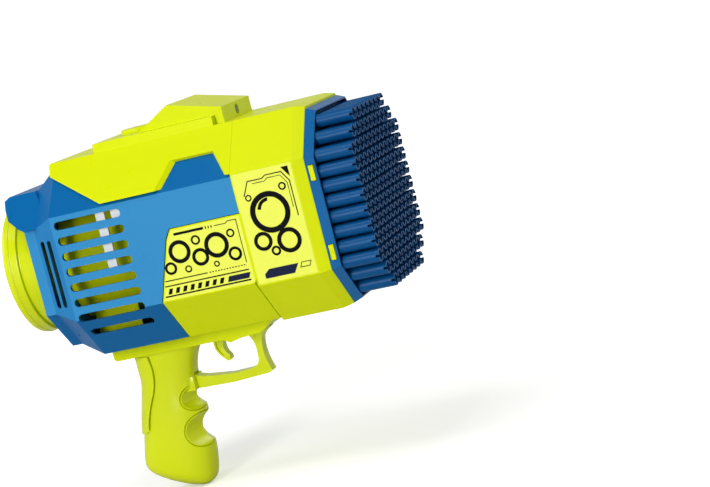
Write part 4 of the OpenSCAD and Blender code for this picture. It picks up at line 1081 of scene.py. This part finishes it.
class BLOWER_OT_labels(bpy.types.Operator):
    """Lays the label films on the right side and prints their lines, rings and bars"""

    bl_idname = "blower.labels"
    bl_label = "Labels"

    def execute(self, context):
        film = sizes().film / MM
        for name, face, corners in (
                ("collar_label", COLLAR_SIDE, [(-41.6, -36.2), (-0.9, -36.2), (-0.9, 36.2), (-41.6, 36.2)]),
                ("shell_label", SHELL_SIDE, [(-108.6, -34.4), (-44, -34.4), (-44, 10), (-91.6, 10), (-95.4, 4.3)])):
            settle(prism(name, rounded(corners, 0.8), face - film, face + 0.05), "label", "housing")
        print_piece("collar_print", "ink", COLLAR_SIDE, [
            stroke([(-36.5, 21), (-32, 30), (-22, 30), (-19.5, 31.6), (-8.5, 31.6), (-4.2, 25), (-4.2, 2)], 0.7),
            stroke([(-29, 28), (-20.8, 28), (-18.4, 29.6), (-9.6, 29.6), (-6, 24), (-6, 8)], 0.45),
            [(-8, 34.4), (-3.2, 34.4), (-3.2, 27.4)],
            (-22, 8, 13.5, 3.6), (-31.5, -9.5, 6.2, 2.4), (-14.2, -12, 8.2, 2.8), (-24.5, -17, 3.2, 1.5),
            (-10, 22.5, 2.6, 1.1), (-34, 19.5, 2.2, 0.9),
            rounded(bend((-30, 11), (-28, 17.5), (-21.5, 17.6), 8)
                    + bend((-22, 15.4), (-26.6, 15), (-27.6, 10.6), 8), 0.2, 1),
            stroke([(-10, -27.6), (-3.6, -27.6), (-4.9, -30.6), (-11.3, -30.6), (-9.8, -27.3)], 0.5)])
        print_piece("collar_print_block", "dark_ink", COLLAR_SIDE, [
            [(-36, -33.4), (-16, -33.4), (-12.4, -27.6), (-32.4, -27.6), (-36, -30.4)]])
        tall = 3.6
        print_piece("shell_print", "ink", SHELL_SIDE, [
            slab(-90.6, 6.2, 21, 1.7), *[slab(-68.4 + 2 * k, 6.2, 0.8, 1.7) for k in range(3)],
            stroke([(-62, 7), (-54, 7), (-52.4, 8.2), (-46.6, 8.2), (-46.6, -20.5)], 0.55),
            slab(-104.4, -22.2, 30, 0.7), *[slab(-73 + 2 * k, -22.2, 1.1, 0.7) for k in range(13)],
            slab(-107, -32.4, 60.6, 1.0), slab(-105.4, -25.6, 59, 0.8),
            *[slab(-104.6 + 5.2 * k, -30.6, 2.6, tall, 1.6) for k in range(8)],
            (-89.5, -4.6, 7.6, 2.6), (-76.2, -10.8, 5.8, 2.2), (-63.6, -5.4, 8.4, 2.8), (-98.2, -14.2, 4.2, 1.7),
            (-76.8, 0.6, 3.2, 1.3), (-52.6, -13.4, 4.6, 1.8), (-52.4, 0.2, 2.8, 1.1), (-86.4, -16.8, 2.4, 1.0),
            (-66.6, -17.4, 2.0, 0.9)])
        print_piece("shell_print_block", "dark_ink", SHELL_SIDE, [slab(-62.4, -30.6, 15, tall, 1.6)])
        return {"FINISHED"}


# Camera: where the photograph was taken from, in the row frame, and the frame it was taken in
CAMERA_AT = Vector((0.53265, -1.3578, 0.3167))
CAMERA_RIGHT, CAMERA_UP = Vector((0.9292, 0.2745, -0.2474)), Vector((0.2066, 0.1692, 0.9637))
CAMERA_LENS, CAMERA_SHIFT = 110.1, (0.0293, -0.0626)


class BLOWER_OT_stage(bpy.types.Operator):
    """Sets the floor, the soft studio light and the camera"""

    bl_idname = "blower.stage"
    bl_label = "Studio"

    def execute(self, context):
        scene = context.scene
        scene.view_settings.view_transform = "Standard"
        self.floor()
        self.world(scene)
        target = Vector((0, 0, 0.14))
        for name, spot, size, watts in (
                ("key", (-0.2, -0.9, 2.4), (1.0, 1.0), 18), ("card", (-0.25, -2.2, 0.7), (0.55, 1.3), 27),
                ("fill", (-2.0, -0.6, 1.2), (1.2, 1.2), 9), ("far_side", (1.4, 1.5, 1.5), (1.3, 1.3), 22)):
            lamp = bpy.data.lights.new(name, "AREA")
            lamp.energy, lamp.shape = watts, "RECTANGLE"
            lamp.size, lamp.size_y = size
            obj = bpy.data.objects.new(name, lamp)
            obj.location = spot
            obj.rotation_euler = (target - Vector(spot)).to_track_quat("-Z", "Y").to_euler()
            scene.collection.objects.link(obj)
        data = bpy.data.cameras.new("camera")
        data.lens, data.sensor_width = CAMERA_LENS, 36
        data.shift_x, data.shift_y = CAMERA_SHIFT
        data.dof.use_dof = False
        camera = bpy.data.objects.new("camera", data)
        back = CAMERA_RIGHT.cross(CAMERA_UP).normalized()
        right = CAMERA_UP.cross(back).normalized()
        up = back.cross(right)
        camera.matrix_world = Matrix.Translation(CAMERA_AT) @ Matrix((right, up, back)).transposed().to_4x4()
        scene.collection.objects.link(camera)
        scene.camera = camera
        return {"FINISHED"}

    def floor(self):
        """Wide painted floor that the camera sees as white where no shadow falls.
        It throws little light back."""
        bm = bmesh.new()
        bmesh.ops.create_grid(bm, x_segments=8, y_segments=8, size=40)
        floor = from_bmesh("floor", bm)
        material, tree, place = blank("matt_white_paint")
        rgb = colours().floor
        path = add(tree, "ShaderNodeLightPath").outputs
        tint = mix(tree, noise(tree, place, 0.02, 3.0), tone(rgb, 0.97), tone(rgb, 1.0))
        cast = mix(tree, path["Is Camera Ray"], tone(rgb, 0.65), tint)
        paint = add(tree, "ShaderNodeBsdfPrincipled", (), {"Base Color": cast, "Roughness": 0.9})
        away = add(tree, "ShaderNodeVectorMath", {"operation": "LENGTH"}, {0: place}).outputs["Value"]
        seen = calc(tree, "MULTIPLY", remap(tree, away, 0.35, 1.6, 0.36, 0.86), path["Is Camera Ray"])
        lift = calc(tree, "MULTIPLY_ADD", remap(tree, away, 0.5, 1.2, 0, 0.3), path["Is Glossy Ray"], seen)
        glow = add(tree, "ShaderNodeEmission", (), {"Strength": lift})
        both = add(tree, "ShaderNodeAddShader", (), {0: paint.outputs[0], 1: glow.outputs[0]})
        add(tree, "ShaderNodeOutputMaterial", (), {"Surface": both.outputs[0]})
        floor.data.materials.append(material)

    def world(self, scene):
        """White surround under a dark ceiling: plain white to the camera, softer as a light."""
        world = bpy.data.worlds.new("studio")
        world.use_nodes = True
        tree = world.node_tree
        tree.nodes.clear()
        path = add(tree, "ShaderNodeLightPath").outputs
        seen = path["Is Camera Ray"]
        for other in ("Is Glossy Ray", "Is Transmission Ray"):
            seen = calc(tree, "MAXIMUM", seen, path[other])
        way = add(tree, "ShaderNodeSeparateXYZ", (), {0: add(tree, "ShaderNodeTexCoord").outputs["Generated"]})
        mirrored = remap(tree, way.outputs["Z"], 0.2, 0.6, 0.6, 0.15)
        direct = calc(tree, "MAXIMUM", path["Is Camera Ray"], mirrored)
        power = remap(tree, seen, 0, 1, 0.22, direct)
        light = add(tree, "ShaderNodeBackground", (), {"Color": (1, 1, 1, 1), "Strength": power})
        add(tree, "ShaderNodeOutputWorld", (), {"Surface": light.outputs[0]})
        scene.world = world


class BLOWER_PT_panel(bpy.types.Panel):
    """Colours, sizes and steps of the blower"""

    bl_idname = "BLOWER_PT_panel"
    bl_label = "Bubble Blower"
    bl_space_type = "VIEW_3D"
    bl_region_type = "UI"
    bl_category = "Blower"

    def draw(self, context):
        layout = self.layout
        for group in (context.scene.blower_colours, context.scene.blower_sizes):
            box = layout.box()
            for key in group.__annotations__:
                box.prop(group, key)
        for step in STEPS:
            layout.operator(step.bl_idname)


STEPS = (BLOWER_OT_casing, BLOWER_OT_nozzle, BLOWER_OT_grip, BLOWER_OT_trigger, BLOWER_OT_intake, BLOWER_OT_fan,
         BLOWER_OT_light, BLOWER_OT_springs, BLOWER_OT_screws, BLOWER_OT_inside, BLOWER_OT_labels, BLOWER_OT_stage)
CLASSES = (BlowerColours, BlowerSizes, *STEPS, BLOWER_PT_panel)


def register():
    for cls in CLASSES:
        bpy.utils.register_class(cls)
    bpy.types.Scene.blower_colours = bpy.props.PointerProperty(type=BlowerColours)
    bpy.types.Scene.blower_sizes = bpy.props.PointerProperty(type=BlowerSizes)


def unregister():
    del bpy.types.Scene.blower_sizes
    del bpy.types.Scene.blower_colours
    for cls in reversed(CLASSES):
        bpy.utils.unregister_class(cls)


def main():
    register()
    for step in STEPS:
        group, name = step.bl_idname.split(".")
        getattr(getattr(bpy.ops, group), name)()


if __name__ == "__main__":
    main()
